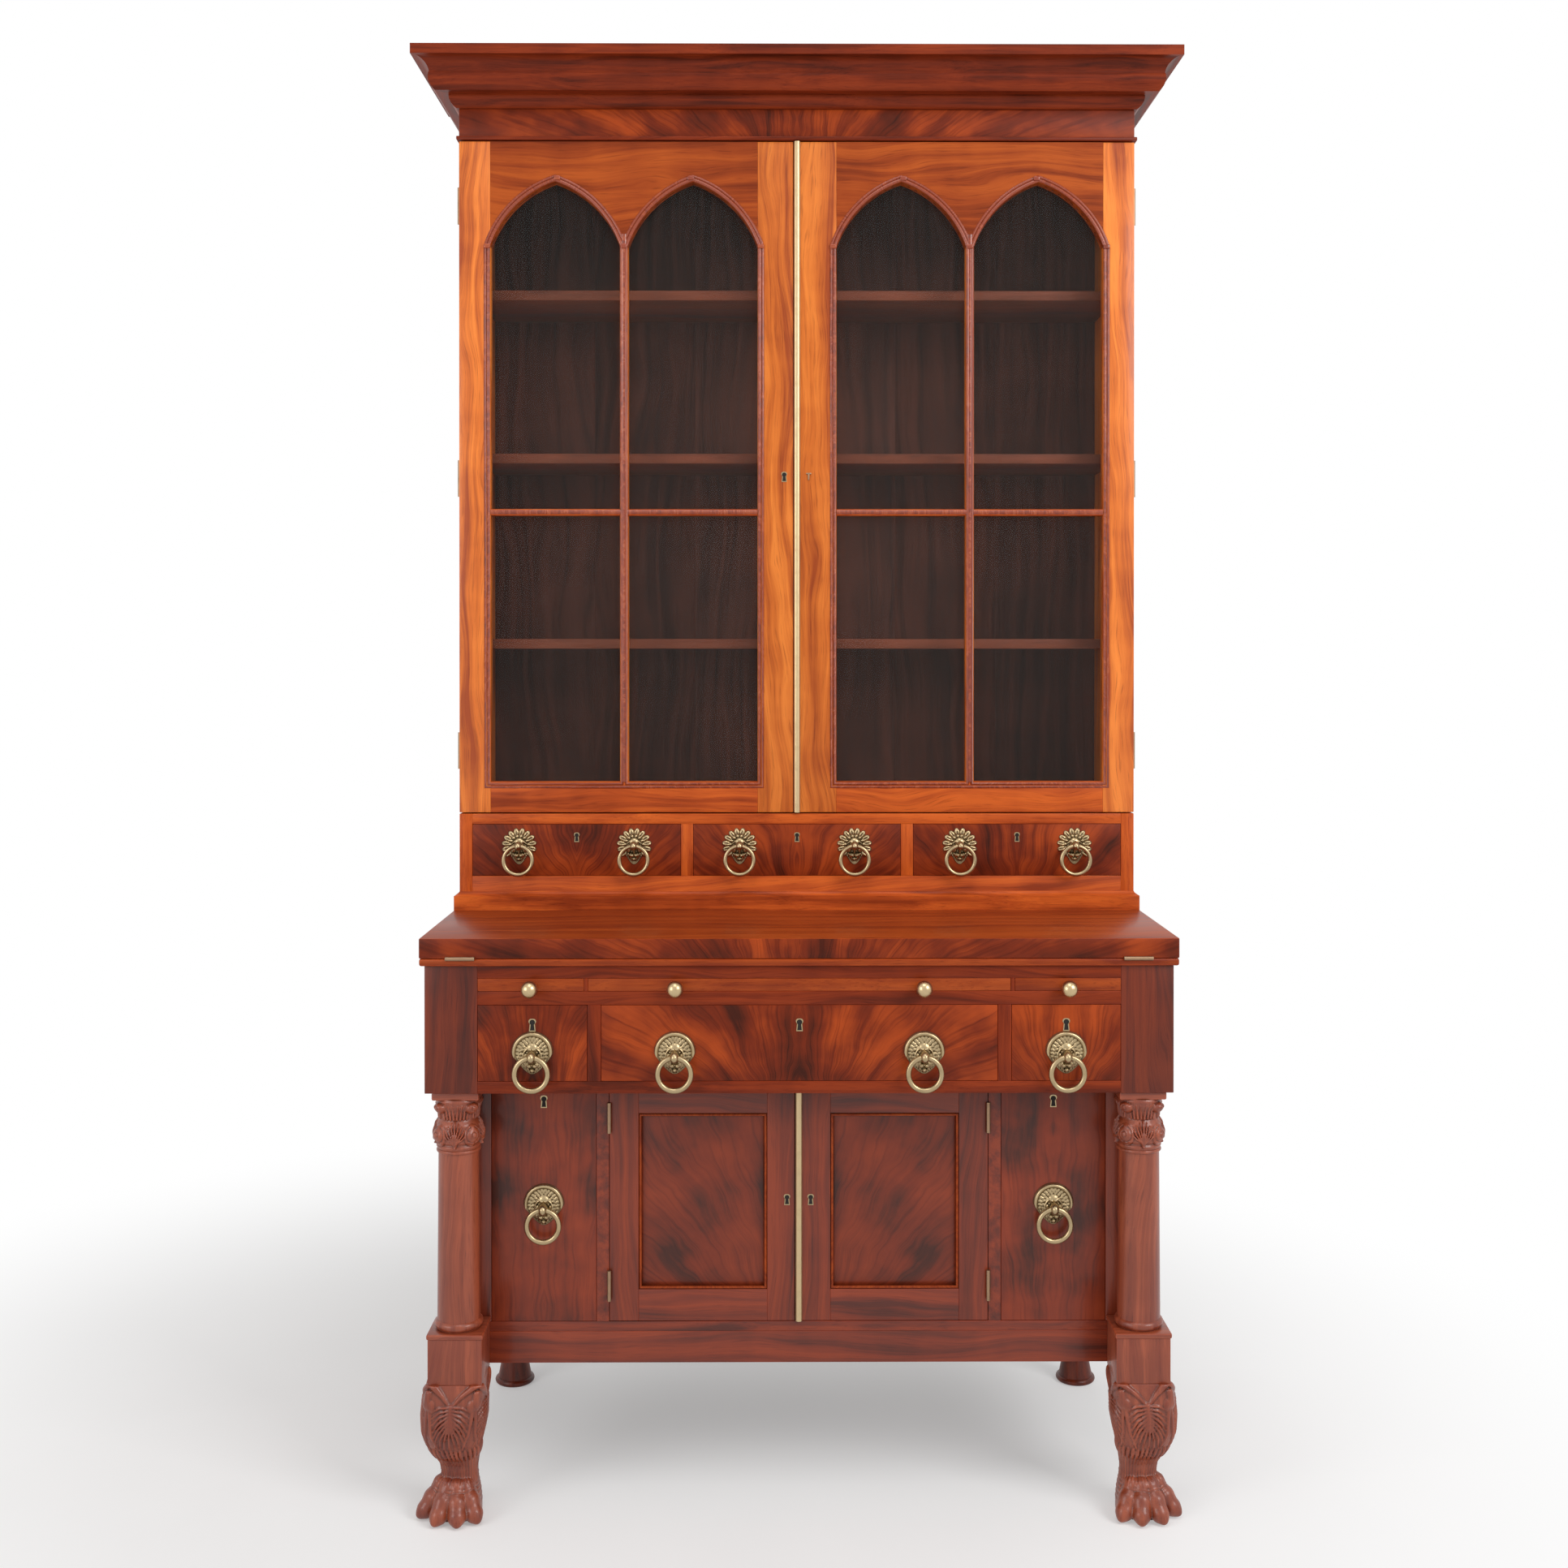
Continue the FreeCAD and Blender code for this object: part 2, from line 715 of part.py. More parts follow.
def arched_light(x, y, foot, springing):
    """Solid of a light with a pointed arch, from two arcs that meet over its middle."""
    left, right = x[0].number, x[1].number
    middle = (left + right) / 2
    shift = size.arch_centre_shift.number
    drop = size.arch_centre_drop.number
    radius = math.hypot(middle - left + shift, drop)
    rise = math.sqrt(radius ** 2 - shift ** 2) - drop
    half_turn = (math.atan2(drop, middle - left + shift) + math.atan2(rise + drop, shift)) / 2
    knee_x = radius * math.cos(half_turn) - shift
    knee_z = springing.number + radius * math.sin(half_turn) - drop
    low_y, high_y = y[0].number, y[1].number

    def point(px, pz):
        return Vector(px, low_y, pz)

    corners = [point(left, foot.number), point(right, foot.number), point(right, springing.number),
               point(middle, springing.number + rise), point(left, springing.number)]
    edges = [Part.LineSegment(corners[0], corners[1]).toShape(),
             Part.Arc(corners[2], point(middle + knee_x, knee_z), corners[3]).toShape(),
             Part.Arc(corners[3], point(middle - knee_x, knee_z), corners[4]).toShape()]
    if springing.number > foot.number:
        edges.append(Part.LineSegment(corners[1], corners[2]).toShape())
        edges.append(Part.LineSegment(corners[4], corners[0]).toShape())
    outline = Part.Wire(Part.__sortEdges__(edges))
    return Part.Face(outline).extrude(Vector(0, high_y - low_y, 0))


def glazed_doors():
    """Two doors of stiles, rails and bars, each with a pair of arched lights."""
    thickness = depth(upper_side_front + size.slide_clearance, size.upper_front)
    sill = door_foot + size.glazed_bottom_rail
    springing = door_head - size.arch_head_height
    bar = (door_foot + size.bar_level - size.bar_height / 2, door_foot + size.bar_level + size.bar_height / 2)
    pane_front = size.upper_front - size.glass_setback
    pane_depth = depth(pane_front - size.glass_thickness, pane_front)
    for word, side in SIDES.items():
        edge = meeting_edge(side)
        inner = size.glazed_meeting_reach
        outer = upper_half - size.outer_stile_width
        middle = (inner + outer) / 2
        lights = {"inner": span(side, inner, middle - size.muntin_width / 2),
                  "outer": span(side, middle + size.muntin_width / 2, outer)}
        between = span(side, inner, outer)
        label = f"{word}_upper_door"
        rail = Part.makeBox((between[1] - between[0]).number, size.upper_door_thickness.number,
                            (door_head - springing).number,
                            Vector(between[0].number, thickness[0].number, springing.number))
        parts = [
            board(f"{label}_meeting_stile", span(side, edge, inner), thickness, (door_foot, door_head)),
            board(f"{label}_hinge_stile", span(side, outer, upper_half), thickness,
                  (door_foot, door_head)),
            board(f"{label}_bottom_rail", between, thickness, (door_foot, sill)),
            board(f"{label}_muntin", span(side, middle - size.muntin_width / 2, middle + size.muntin_width / 2),
                  thickness, (sill, springing)),
        ]
        panes = []
        for place_word, x in lights.items():
            rail = rail.cut(arched_light(x, thickness, springing, springing))
            parts.append(board(f"{label}_bar_{place_word}", x, thickness, bar))
            panes.append(board(f"{label}_low_pane_{place_word}", x, pane_depth, (sill, bar[0])))
            panes.append(form(f"{label}_arched_pane_{place_word}",
                              arched_light(x, pane_depth, bar[1], springing)))
        parts.append(form(f"{label}_arched_rail", rail))
        node(label, parts)
        node(f"{word}_glass", panes)
    strip("upper_astragal", size.upper_front, door_foot, door_head)


# Bookcase

def upper_sides():
    """Side boards of the bookcase."""
    node("upper_sides", [board(f"upper_side_{word}", span(side, upper_inner, upper_half),
                               depth(as_size(0), upper_side_front), (bed_top, upper_top))
                         for word, side in SIDES.items()])


def upper_boards():
    """Top, deck, floor and the partitions between the small drawers."""
    behind = depth(size.back_thickness, upper_side_front)
    board_thickness = size.upper_board_thickness
    parts = [
        board("upper_top_board", both(upper_inner), behind, (upper_top - board_thickness, upper_top)),
        board("upper_deck_board", both(upper_inner), behind, (upper_deck - board_thickness, upper_deck)),
        board("upper_floor_board", both(upper_inner), behind, (small_sill - board_thickness, small_sill)),
    ]
    post_middle = size.small_centre_half + size.small_post_width / 2
    for word, side in SIDES.items():
        x = span(side, post_middle - size.small_partition_thickness / 2,
                 post_middle + size.small_partition_thickness / 2)
        parts.append(board(f"small_partition_{word}", x, behind, (small_sill, upper_deck - board_thickness)))
    node("upper_boards", parts)


def upper_face_frame():
    """Rails and stiles round the small drawers."""
    thickness = depth(upper_side_front, size.upper_front)
    parts = [
        board("upper_sill_rail", both(small_outer), thickness, (bed_top, small_sill)),
        board("upper_mid_rail", both(small_outer), thickness, (small_head, upper_deck)),
    ]
    for word, side in SIDES.items():
        parts.append(board(f"upper_stile_{word}", span(side, small_outer, upper_half), thickness,
                           (bed_top, upper_deck)))
        post = span(side, size.small_centre_half, small_side_inner)
        parts.append(board(f"small_post_{word}", post, thickness, (small_sill, small_head)))
    node("upper_face_frame", parts)


def bookshelves():
    """Three shelves between the sides."""
    half = upper_inner - size.shelf_end_gap
    rises = {"lower": size.lower_shelf_rise, "middle": size.middle_shelf_rise, "upper": size.upper_shelf_rise}
    parts = []
    for word, rise in rises.items():
        level = upper_deck + rise
        parts.append(board(f"{word}_shelf", both(half), depth(size.back_thickness, size.shelf_front),
                           (level, level + size.shelf_thickness)))
    node("bookshelves", parts)


def frieze_board():
    """Veneered board over the doors, with a small lip round its lower edge."""
    parts = [board("frieze_veneer", both(upper_half), depth(upper_side_front, size.upper_front),
                   (lip_bottom, upper_top))]
    lip = (lip_bottom, lip_bottom + size.frieze_lip_height)
    reach = upper_half + size.frieze_lip_reach
    parts.append(board("frieze_lip_front", both(reach),
                       depth(size.upper_front, size.upper_front + size.frieze_lip_reach), lip))
    for word, side in SIDES.items():
        parts.append(board(f"frieze_lip_{word}", span(side, upper_half, reach),
                           depth(as_size(0), size.upper_front), lip))
    node("frieze_board", parts)


# Mouldings

def bulged(start, end, bulge):
    """Arc from start to end whose middle lies off the chord by the bulge, to its left."""
    chord = end - start
    middle = (start + end) / 2 + Vector(-chord.z, 0, chord.x).normalize() * bulge
    return Part.Arc(start, middle, end).toShape()


def mitred(edges, half, front):
    """Sweep an outline, drawn at the back of the left side, round the two front corners."""
    back_y = y_at(as_size(0)).number
    front_y = y_at(front).number
    turns = [Vector(-half.number, back_y, 0), Vector(-half.number, front_y, 0),
             Vector(half.number, front_y, 0), Vector(half.number, back_y, 0)]
    path = Part.Wire([Part.LineSegment(a, b).toShape() for a, b in zip(turns, turns[1:])])
    return path.makePipeShell([Part.Wire(Part.__sortEdges__(edges))], True, False, 1)


def section_edges(corners, bulges):
    """Closed outline from its corners; an arc where a bulge is given for that side."""
    edges = []
    for number, start in enumerate(corners):
        end = corners[(number + 1) % len(corners)]
        if number in bulges:
            edges.append(bulged(start, end, bulges[number]))
        else:
            edges.append(Part.LineSegment(start, end).toShape())
    return edges


def section_points(half, pairs):
    """Corners of a moulding's outline from pairs of reach and level."""
    back_y = y_at(as_size(0)).number
    return [Vector(-(half + reach).number, back_y, as_size(level).number) for reach, level in pairs]


def cornice():
    """Cornice: bed mould, corona, cavetto and top fillet."""
    bed_level = upper_top + size.bed_mould_rise
    corona_level = bed_level + size.corona_rise
    cavetto_level = corona_level + size.cavetto_rise
    top_level = cavetto_level + size.cornice_fillet_rise
    pairs = [(-size.side_thickness, upper_top), (size.bed_mould_start, upper_top),
             (size.bed_mould_reach, bed_level), (size.corona_soffit, bed_level),
             (size.corona_reach, corona_level), (size.cavetto_reach, cavetto_level),
             (size.cornice_reach, cavetto_level), (size.cornice_reach, top_level),
             (-size.side_thickness, top_level)]
    bulges = {1: size.bed_mould_bulge.number, 3: size.corona_bulge.number, 4: -size.cavetto_hollow.number}
    corners = section_points(upper_half, pairs)
    node("cornice", [form("cornice_run", mitred(section_edges(corners, bulges), upper_half,
                                                size.upper_front))])


def base_moulding():
    """Moulding round the foot of the bookcase."""
    top = bed_top + size.base_moulding_height
    shoulder = top - size.base_moulding_cove
    zero = as_size(0)
    pairs = [(zero, bed_top), (size.base_moulding_reach, bed_top), (size.base_moulding_reach, shoulder),
             (zero, top)]
    corners = section_points(upper_half, pairs)
    bulges = {2: -size.base_moulding_hollow.number}
    node("base_moulding", [form("base_moulding_run", mitred(section_edges(corners, bulges), upper_half,
                                                            size.upper_front))])


# Hinges

def knuckle_levels(low, high, margin, length, count):
    """Foot of each knuckle between two levels."""
    first = low + margin
    last = high - margin - length
    return [first + (last - first) * (number / (count - 1)) for number in range(count)]


def hinges():
    """Brass barrels of the flap's hinges and of the door hinges."""
    parts = barrel_rods("flap_barrel", size.flap_barrel_radius, as_size(0))
    offset = size.knuckle_radius + size.barrel_clearance
    lower = knuckle_levels(lower_sill, frieze_bottom, size.lower_knuckle_margin, size.lower_knuckle_length, 2)
    upper = knuckle_levels(door_foot, door_head, size.knuckle_end_margin, size.upper_knuckle_length, 3)
    for word, side in SIDES.items():
        for number, level in enumerate(lower, start=1):
            parts.append(rod(f"lower_knuckle_{word}_{number}", size.knuckle_radius, size.lower_knuckle_length,
                             shifted(side, size.cupboard_half - size.inset_gap / 2),
                             y_at(size.lower_front + offset), level))
        for number, level in enumerate(upper, start=1):
            parts.append(rod(f"upper_knuckle_{word}_{number}", size.knuckle_radius, size.upper_knuckle_length,
                             shifted(side, upper_half + offset), y_at(upper_side_front), level))
    node("hinges", parts)


# Columns and feet

plinth_foot = size.leg_height - size.plinth_drop
plinth_head = plinth_foot + size.plinth_height
column_foot = plinth_head + size.plinth_cap_height
capital_foot = frieze_bottom - size.capital_height


def column(word, x):
    """Turned shaft on a rounded base, with a ring under the capital."""
    base_level = column_foot + size.column_base_tube
    shaft_height = capital_foot - column_foot
    return fused(f"column_{word}", [
        rod(f"column_base_disc_{word}", size.column_base_radius, size.column_base_tube * 2, x, column_y,
            column_foot),
        ring(f"column_base_ring_{word}", size.column_base_radius, size.column_base_tube, x, column_y,
             base_level),
        taper(f"column_shaft_{word}", size.column_foot_radius, size.column_neck_radius, shaft_height, x,
              column_y, column_foot),
        ring(f"column_neck_ring_{word}", size.column_neck_radius, size.astragal_ring_tube, x, column_y,
             capital_foot - size.astragal_ring_tube),
    ])


def capital(word, x):
    """Bell of the carved capital under its square abacus."""
    bell_head = frieze_bottom - size.abacus_height
    bulge_level = capital_foot + size.capital_bulge_level
    waist_level = capital_foot + size.capital_waist_level
    half = size.plinth_width / 2
    return fused(f"capital_{word}", [
        taper(f"capital_low_{word}", size.column_neck_radius, size.capital_bulge_radius,
              size.capital_bulge_level, x, column_y, capital_foot),
        taper(f"capital_bulge_{word}", size.capital_bulge_radius, size.capital_waist_radius,
              size.capital_waist_level - size.capital_bulge_level, x, column_y, bulge_level),
        taper(f"capital_flare_{word}", size.capital_waist_radius, size.capital_bulge_radius,
              bell_head - waist_level, x, column_y, waist_level),
        board(f"abacus_{word}", (x - half, x + half), depth(size.lower_front, size.frieze_front),
              (bell_head, frieze_bottom)),
    ])


def columns():
    """Free-standing columns with their capitals."""
    parts = []
    for word, side in SIDES.items():
        x = shifted(side, column_spread)
        parts.append(column(word, x))
        parts.append(capital(word, x))
    node("columns", parts)


def plinths():
    """Square blocks under the columns, each with a cap."""
    parts = []
    half = size.plinth_width / 2
    over = size.plinth_cap_overhang
    for word, side in SIDES.items():
        x = shifted(side, column_spread)
        block = board(f"plinth_block_{word}", (x - half, x + half), depth(size.lower_front, size.frieze_front),
                      (plinth_foot, plinth_head))
        cap = board(f"plinth_cap_{word}", (x - half - over, x + half + over),
                    depth(size.lower_front, size.frieze_front + over), (plinth_head, column_foot))
        parts.append(fused(f"plinth_{word}", [block, cap]))
    node("plinths", parts)


def rounded_section(x, y, z, width, length):
    """Closed outline with well rounded corners, level at z."""
    half_x = width / 2
    half_y = length / 2
    corner = min(width, length) * SECTION_CORNER
    slack = corner * (1 - math.sqrt(0.5))
    edges = []
    for turn in range(4):
        across, along = (half_x, half_y) if turn % 2 == 0 else (half_y, half_x)
        spin = Rotation(Vector(0, 0, 1), 90 * turn)
        start = Vector(across, corner - along, 0)
        straight_end = Vector(across, along - corner, 0)
        bend = Vector(across - slack, along - slack, 0)
        arc_end = Vector(across - corner, along, 0)
        here = Vector(x, y, z)
        edges.append(Part.LineSegment(here + spin.multVec(start), here + spin.multVec(straight_end)).toShape())
        edges.append(Part.Arc(here + spin.multVec(straight_end), here + spin.multVec(bend),
                              here + spin.multVec(arc_end)).toShape())
    return Part.Wire(edges)


def paw_toe(x, y, angle):
    """One toe: a knuckle and a tip near the floor, joined by a tapering bone."""
    turn = math.radians(angle)
    ahead = Vector(math.sin(turn), -math.cos(turn), 0)
    knuckle_radius = size.toe_knuckle_radius.number
    tip_radius = size.toe_tip_radius.number
    foremost = math.radians(min(TOE_ANGLES, key=abs))
    tip_reach = (y - y_at(overall_depth).number - tip_radius) / math.cos(foremost)
    knuckle = Vector(x, y, size.toe_knuckle_level.number) + ahead * size.toe_knuckle_reach.number
    tip = Vector(x, y, size.toe_tip_level.number) + ahead * tip_reach
    bone = Part.makeCone(knuckle_radius * TOE_BONE_SHARE, tip_radius * TOE_BONE_SHARE, (tip - knuckle).Length,
                         knuckle, tip - knuckle)
    return [Part.makeSphere(knuckle_radius, knuckle), bone, Part.makeSphere(tip_radius, tip)]


def paw_foot():
    """Right-hand foot: knee that bulges outwards, narrow ankle and a broad paw with four splayed toes."""
    x = column_spread
    front = column_front
    ankle_x = x - size.ankle_inset
    ankle_front = front - size.ankle_setback
    paw_x = x + size.paw_outset
    paw_front = front + size.paw_advance
    below = -size.toe_tip_radius
    sections = [
        (x, front, plinth_foot, size.plinth_width, size.frieze_front - size.lower_front),
        (x + size.knee_outset, front + size.knee_advance, size.knee_level, size.knee_width, size.knee_depth),
        (x + size.hock_outset, front, size.hock_level, size.hock_width, size.hock_depth),
        (x, ankle_front, size.ankle_head, size.ankle_head_width, size.ankle_depth),
        (ankle_x, ankle_front, size.ankle_level, size.ankle_width, size.ankle_depth),
        (paw_x, paw_front, size.instep_level, size.paw_width, size.paw_depth),
        (paw_x, paw_front, below, size.paw_width, size.paw_depth),
    ]
    leg = Part.makeLoft([rounded_section(middle.number, y_at(ahead).number, level.number, width.number,
                                         length.number)
                         for middle, ahead, level, width, length in sections], True, False)
    toes = []
    for angle in TOE_ANGLES:
        toes.extend(paw_toe(paw_x.number, y_at(paw_front).number, angle))
    reach = overall_depth.number
    floor = Part.makeBox(reach * 2, reach * 2, reach, Vector(x.number - reach, -reach, -reach))
    return leg.fuse(toes).cut(floor)


def rear_foot(word, side):
    """Turned foot that flares to a rounded base."""
    x = shifted(side, rear_foot_spread)
    y = y_at(size.rear_foot_front)
    half_edge = size.rear_foot_edge / 2
    neck_rise = size.rear_neck_level - size.rear_foot_edge
    return fused(f"rear_foot_{word}", [
        rod(f"rear_foot_disc_{word}", size.rear_foot_radius - half_edge, size.rear_foot_edge, x, y, as_size(0)),
        ring(f"rear_foot_rim_{word}", size.rear_foot_radius - half_edge, half_edge, x, y, half_edge),
        taper(f"rear_foot_flare_{word}", size.rear_foot_radius - half_edge, size.rear_neck_radius, neck_rise, x,
              y, size.rear_foot_edge),
        taper(f"rear_foot_stem_{word}", size.rear_neck_radius, size.rear_top_radius,
              size.leg_height - size.rear_neck_level, x, y, size.rear_neck_level),
    ])


def feet():
    """Carved front feet and plain turned rear feet."""
    right = paw_foot()
    left = right.mirror(Vector(0, 0, 0), Vector(1, 0, 0))
    node("front_feet", [form("paw_foot_left", left), form("paw_foot_right", right)])
    node("rear_feet", [rear_foot(word, side) for word, side in SIDES.items()])


def check_and_write():
    """Stop on any failed object, then write one file for each piece."""
    doc.recompute()
    failed = [part.Name for part in doc.Objects if "Invalid" in part.State or "Error" in part.State]
    if failed:
        raise RuntimeError(f"failed objects: {failed}")
    for part in nodes:
        if part.Shape.isNull() or not part.Shape.isValid():
            raise RuntimeError(f"bad shape: {part.Label}")
    os.makedirs("parts", exist_ok=True)
    for part in nodes:
        part.Shape.exportStep(f"parts/{part.Label}.step")
    print(len(nodes), "pieces,", sum(len(part.Shape.Solids) for part in nodes), "solids")


lower_sides()
lower_boards()
lower_face_frame()
back_boards()
desk_leaves()
slides()
upper_sides()
upper_boards()
upper_face_frame()
bookshelves()
frieze_board()
cornice()
base_moulding()
small_drawers()
frieze_drawers()
bottle_drawers()
panelled_doors()
glazed_doors()
hinges()
columns()
plinths()
feet()
check_and_write()
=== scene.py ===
import math
import random

import bmesh
import bpy
from bpy.props import FloatProperty, FloatVectorProperty, PointerProperty
from mathutils import Matrix, Vector


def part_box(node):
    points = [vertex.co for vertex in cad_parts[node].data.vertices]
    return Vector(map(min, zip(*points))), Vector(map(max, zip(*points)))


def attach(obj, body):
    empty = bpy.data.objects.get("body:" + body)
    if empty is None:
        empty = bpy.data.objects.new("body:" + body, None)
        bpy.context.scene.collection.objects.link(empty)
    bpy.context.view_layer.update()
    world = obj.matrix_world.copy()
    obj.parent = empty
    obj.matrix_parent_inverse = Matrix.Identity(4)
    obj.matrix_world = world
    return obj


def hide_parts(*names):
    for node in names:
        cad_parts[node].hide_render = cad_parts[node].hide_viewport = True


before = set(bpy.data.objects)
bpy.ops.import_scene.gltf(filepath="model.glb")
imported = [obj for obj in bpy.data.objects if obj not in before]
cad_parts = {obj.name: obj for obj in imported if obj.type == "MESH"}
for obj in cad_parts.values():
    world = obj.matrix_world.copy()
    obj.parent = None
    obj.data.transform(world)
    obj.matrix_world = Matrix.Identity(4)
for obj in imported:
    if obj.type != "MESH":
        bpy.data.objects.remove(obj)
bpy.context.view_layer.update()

bl_info = {
    "name": "Secretaire Bookcase",
    "version": (1, 0, 0),
    "blender": (4, 5, 0),
    "location": "View3D > Sidebar > Bookcase",
    "description": "Dresses the packed bookcase in figured veneer, carving, brass and glass",
    "category": "Object",
}

MM = 0.001
SIDES = {"left": -1, "right": 1}
SMALL_DRAWERS = ("left_small_drawer", "centre_small_drawer", "right_small_drawer")
FRIEZE_DRAWERS = ("left_frieze_drawer", "centre_frieze_drawer", "right_frieze_drawer")
BOTTLE_DRAWERS = ("left_bottle_drawer", "right_bottle_drawer")
DRAWERS = SMALL_DRAWERS + FRIEZE_DRAWERS + BOTTLE_DRAWERS


# Settings that a user may change

def length(label, description, millimetres):
    """A length setting, given in millimetres and kept in metres."""
    return FloatProperty(name=label, description=description, default=millimetres * MM, precision=4,
                         subtype="DISTANCE", unit="LENGTH")


def colour(label, description, default):
    """A colour setting."""
    return FloatVectorProperty(name=label, description=description, default=default, min=0.0, max=1.0,
                               size=3, subtype="COLOR")


def share(label, description, default):
    """A setting between none and all."""
    return FloatProperty(name=label, description=description, default=default, min=0.0, max=1.0,
                         subtype="FACTOR")


class BookcaseFinishes(bpy.types.PropertyGroup):
    """Colours and polish of the woods and metals"""
    golden_pale: colour("Golden pale", "Lightest streaks of the golden mahogany", (0.80, 0.225, 0.034))
    golden_mid: colour("Golden middle", "Body colour of the golden mahogany", (0.60, 0.140, 0.018))
    golden_deep: colour("Golden deep", "Darkest streaks of the golden mahogany", (0.33, 0.055, 0.008))
    # The amber tones are the golden mahogany made darker and redder for the rails; the darkness is painted
    # shade from the cornice.
    amber_pale: colour("Amber pale", "Lightest streaks of the door rails", (0.447, 0.086, 0.012))
    amber_mid: colour("Amber middle", "Body colour of the door rails", (0.318, 0.052, 0.008))
    amber_deep: colour("Amber deep", "Darkest streaks of the door rails", (0.180, 0.025, 0.004))
    red_pale: colour("Red pale", "Lightest streaks of the red mahogany", (0.260, 0.036, 0.008))
    red_mid: colour("Red middle", "Body colour of the red mahogany", (0.180, 0.023, 0.006))
    red_deep: colour("Red deep", "Darkest streaks of the red mahogany", (0.085, 0.012, 0.004))
    flame_pale: colour("Flame pale", "Glowing tongues in the crotch veneer", (0.400, 0.060, 0.010))
    flame_deep: colour("Flame deep", "Dark clouds in the crotch veneer", (0.055, 0.010, 0.004))
    desk_pale: colour("Desk pale", "Lightest streaks of the desk top and slides", (0.38, 0.066, 0.011))
    desk_mid: colour("Desk middle", "Body colour of the desk top and slides", (0.29, 0.045, 0.008))
    carved_pale: colour("Carved pale", "Handled heights of the carved wood", (0.34, 0.070, 0.026))
    carved_mid: colour("Carved middle", "Body colour of the carved wood", (0.235, 0.042, 0.014))
    shelf_pale: colour("Shelf pale", "Lightest streaks of the shelves", (0.175, 0.046, 0.022))
    inner_pale: colour("Inner pale", "Lightest streaks of the boards inside", (0.098, 0.030, 0.018))
    inner_deep: colour("Inner deep", "Darkest streaks of the boards inside", (0.036, 0.011, 0.007))
    lining_pale: colour("Lining pale", "Lightest streaks of the drawer linings", (0.42, 0.24, 0.11))
    brass_bright: colour("Brass bright", "Handled brass", (0.43, 0.325, 0.185))
    brass_tarnish: colour("Brass tarnish", "Dirt in the hollows of the brass", (0.060, 0.040, 0.016))
    hinge_brown: colour("Hinge brown", "Browned brass of the hinges and the catch", (0.34, 0.22, 0.135))
    wood_roughness: share("Wood roughness", "Roughness of the wood under its polish", 0.40)
    polish: share("Polish", "Strength of the polish over the lower woods", 0.30)


class BookcaseSizes(bpy.types.PropertyGroup):
    """Sizes of the mouldings and fittings"""
    edge_rounding: length("Edge rounding", "Rounding of the edges of the boards", 0.9)
    desk_rounding: length("Desk rounding", "Rounding of the edges of the fixed desk leaf", 3.0)
    reed_radius: length("Reed radius", "Radius of the inner reed round each light", 3.3)
    outer_reed_radius: length("Outer reed radius", "Radius of the outer reed round each light", 2.6)
    outer_reed_reach: length("Outer reed reach", "Distance of the outer reed from the light", 8.6)
    reed_sink: length("Reed sink", "How far the middle of a reed lies behind the face", 1.0)
    arch_shift: length("Arch shift", "How far each arch's centre lies beyond the middle of its light", 55.0)
    arch_drop: length("Arch drop", "How far each arch's centre lies below the springing", 55.0)
    large_plate_rise: length("Large plate rise", "How far a large plate's middle lies over its ring", 5.0)
    panel_bead: length("Panel bead", "Radius of the bead round the cupboard panels", 2.6)
    flap_rounding: length("Flap rounding", "Rounding of the edges of the writing flap", 1.6)
    bar_reed_radius: length("Bar reed radius", "Radius of the reed on the glazing bar", 5.0)
    bar_reed_sink: length("Bar reed sink", "How far the middle of the bar's reed lies behind the face", 3.2)
    muntin_reed_sink: length("Muntin reed sink", "How far the middle of the muntin's reed lies back", 4.0)
    muntin_overrun: length("Muntin overrun", "How far the muntin's reed climbs past the springing", 20.0)


class BookcaseView(bpy.types.PropertyGroup):
    """Where the camera stands"""
    camera_place: FloatVectorProperty(name="Camera place", description="Where the camera stands", size=3,
                                      default=(-0.0376, -2.7945, 1.2833), subtype="TRANSLATION",
                                      unit="LENGTH")
    camera_pitch: FloatProperty(name="Camera pitch", description="How far the camera looks down",
                                default=math.radians(0.295), subtype="ANGLE", unit="ROTATION")
    camera_yaw: FloatProperty(name="Camera yaw", description="How far the camera looks to the right",
                              default=math.radians(0.331), subtype="ANGLE", unit="ROTATION")
    camera_lens: FloatProperty(name="Camera lens", description="Focal length on a 36 mm sensor",
                               default=39.55)
    camera_shift: FloatProperty(name="Camera shift", description="Vertical shift of the picture",
                                default=-0.0785)


def finishes():
    """Settings of the colours and polish."""
    return bpy.context.scene.bookcase_finishes


def sizes():
    """Settings of the small sizes."""
    return bpy.context.scene.bookcase_sizes


# Small tools

def link(name, data):
    """New object in the scene."""
    thing = bpy.data.objects.new(name, data)
    bpy.context.scene.collection.objects.link(thing)
    return thing


def made_mesh(holder):
    """Mesh of an object with its modifiers applied; the object itself goes."""
    bpy.context.view_layer.update()
    evaluated = holder.evaluated_get(bpy.context.evaluated_depsgraph_get())
    mesh = bpy.data.meshes.new_from_object(evaluated)
    bpy.data.objects.remove(holder)
    return mesh


def limited(value):
    """A value kept between none and all."""
    return min(1.0, max(0.0, value))


# Node trees

class Tree:
    """Short-hand for wiring a node tree."""

    def __init__(self, tree):
        self.tree = tree
        tree.nodes.clear()

    def add(self, kind, settings=(), inputs=()):
        """New node with its settings, and with inputs that are values or sockets."""
        node = self.tree.nodes.new(kind)
        for name, value in dict(settings).items():
            setattr(node, name, value)
        for name, value in dict(inputs).items():
            self.feed(node.inputs[name], value)
        return node

    def feed(self, socket, value):
        """Give an input a value or a link."""
        if isinstance(value, bpy.types.NodeSocket):
            self.tree.links.new(value, socket)
        else:
            socket.default_value = value

    def mix_shaders(self, factor, first, second):
        """Mix of the shaders of two nodes."""
        return self.add("ShaderNodeMixShader",
                        inputs={0: factor, 1: first.outputs[0], 2: second.outputs[0]})


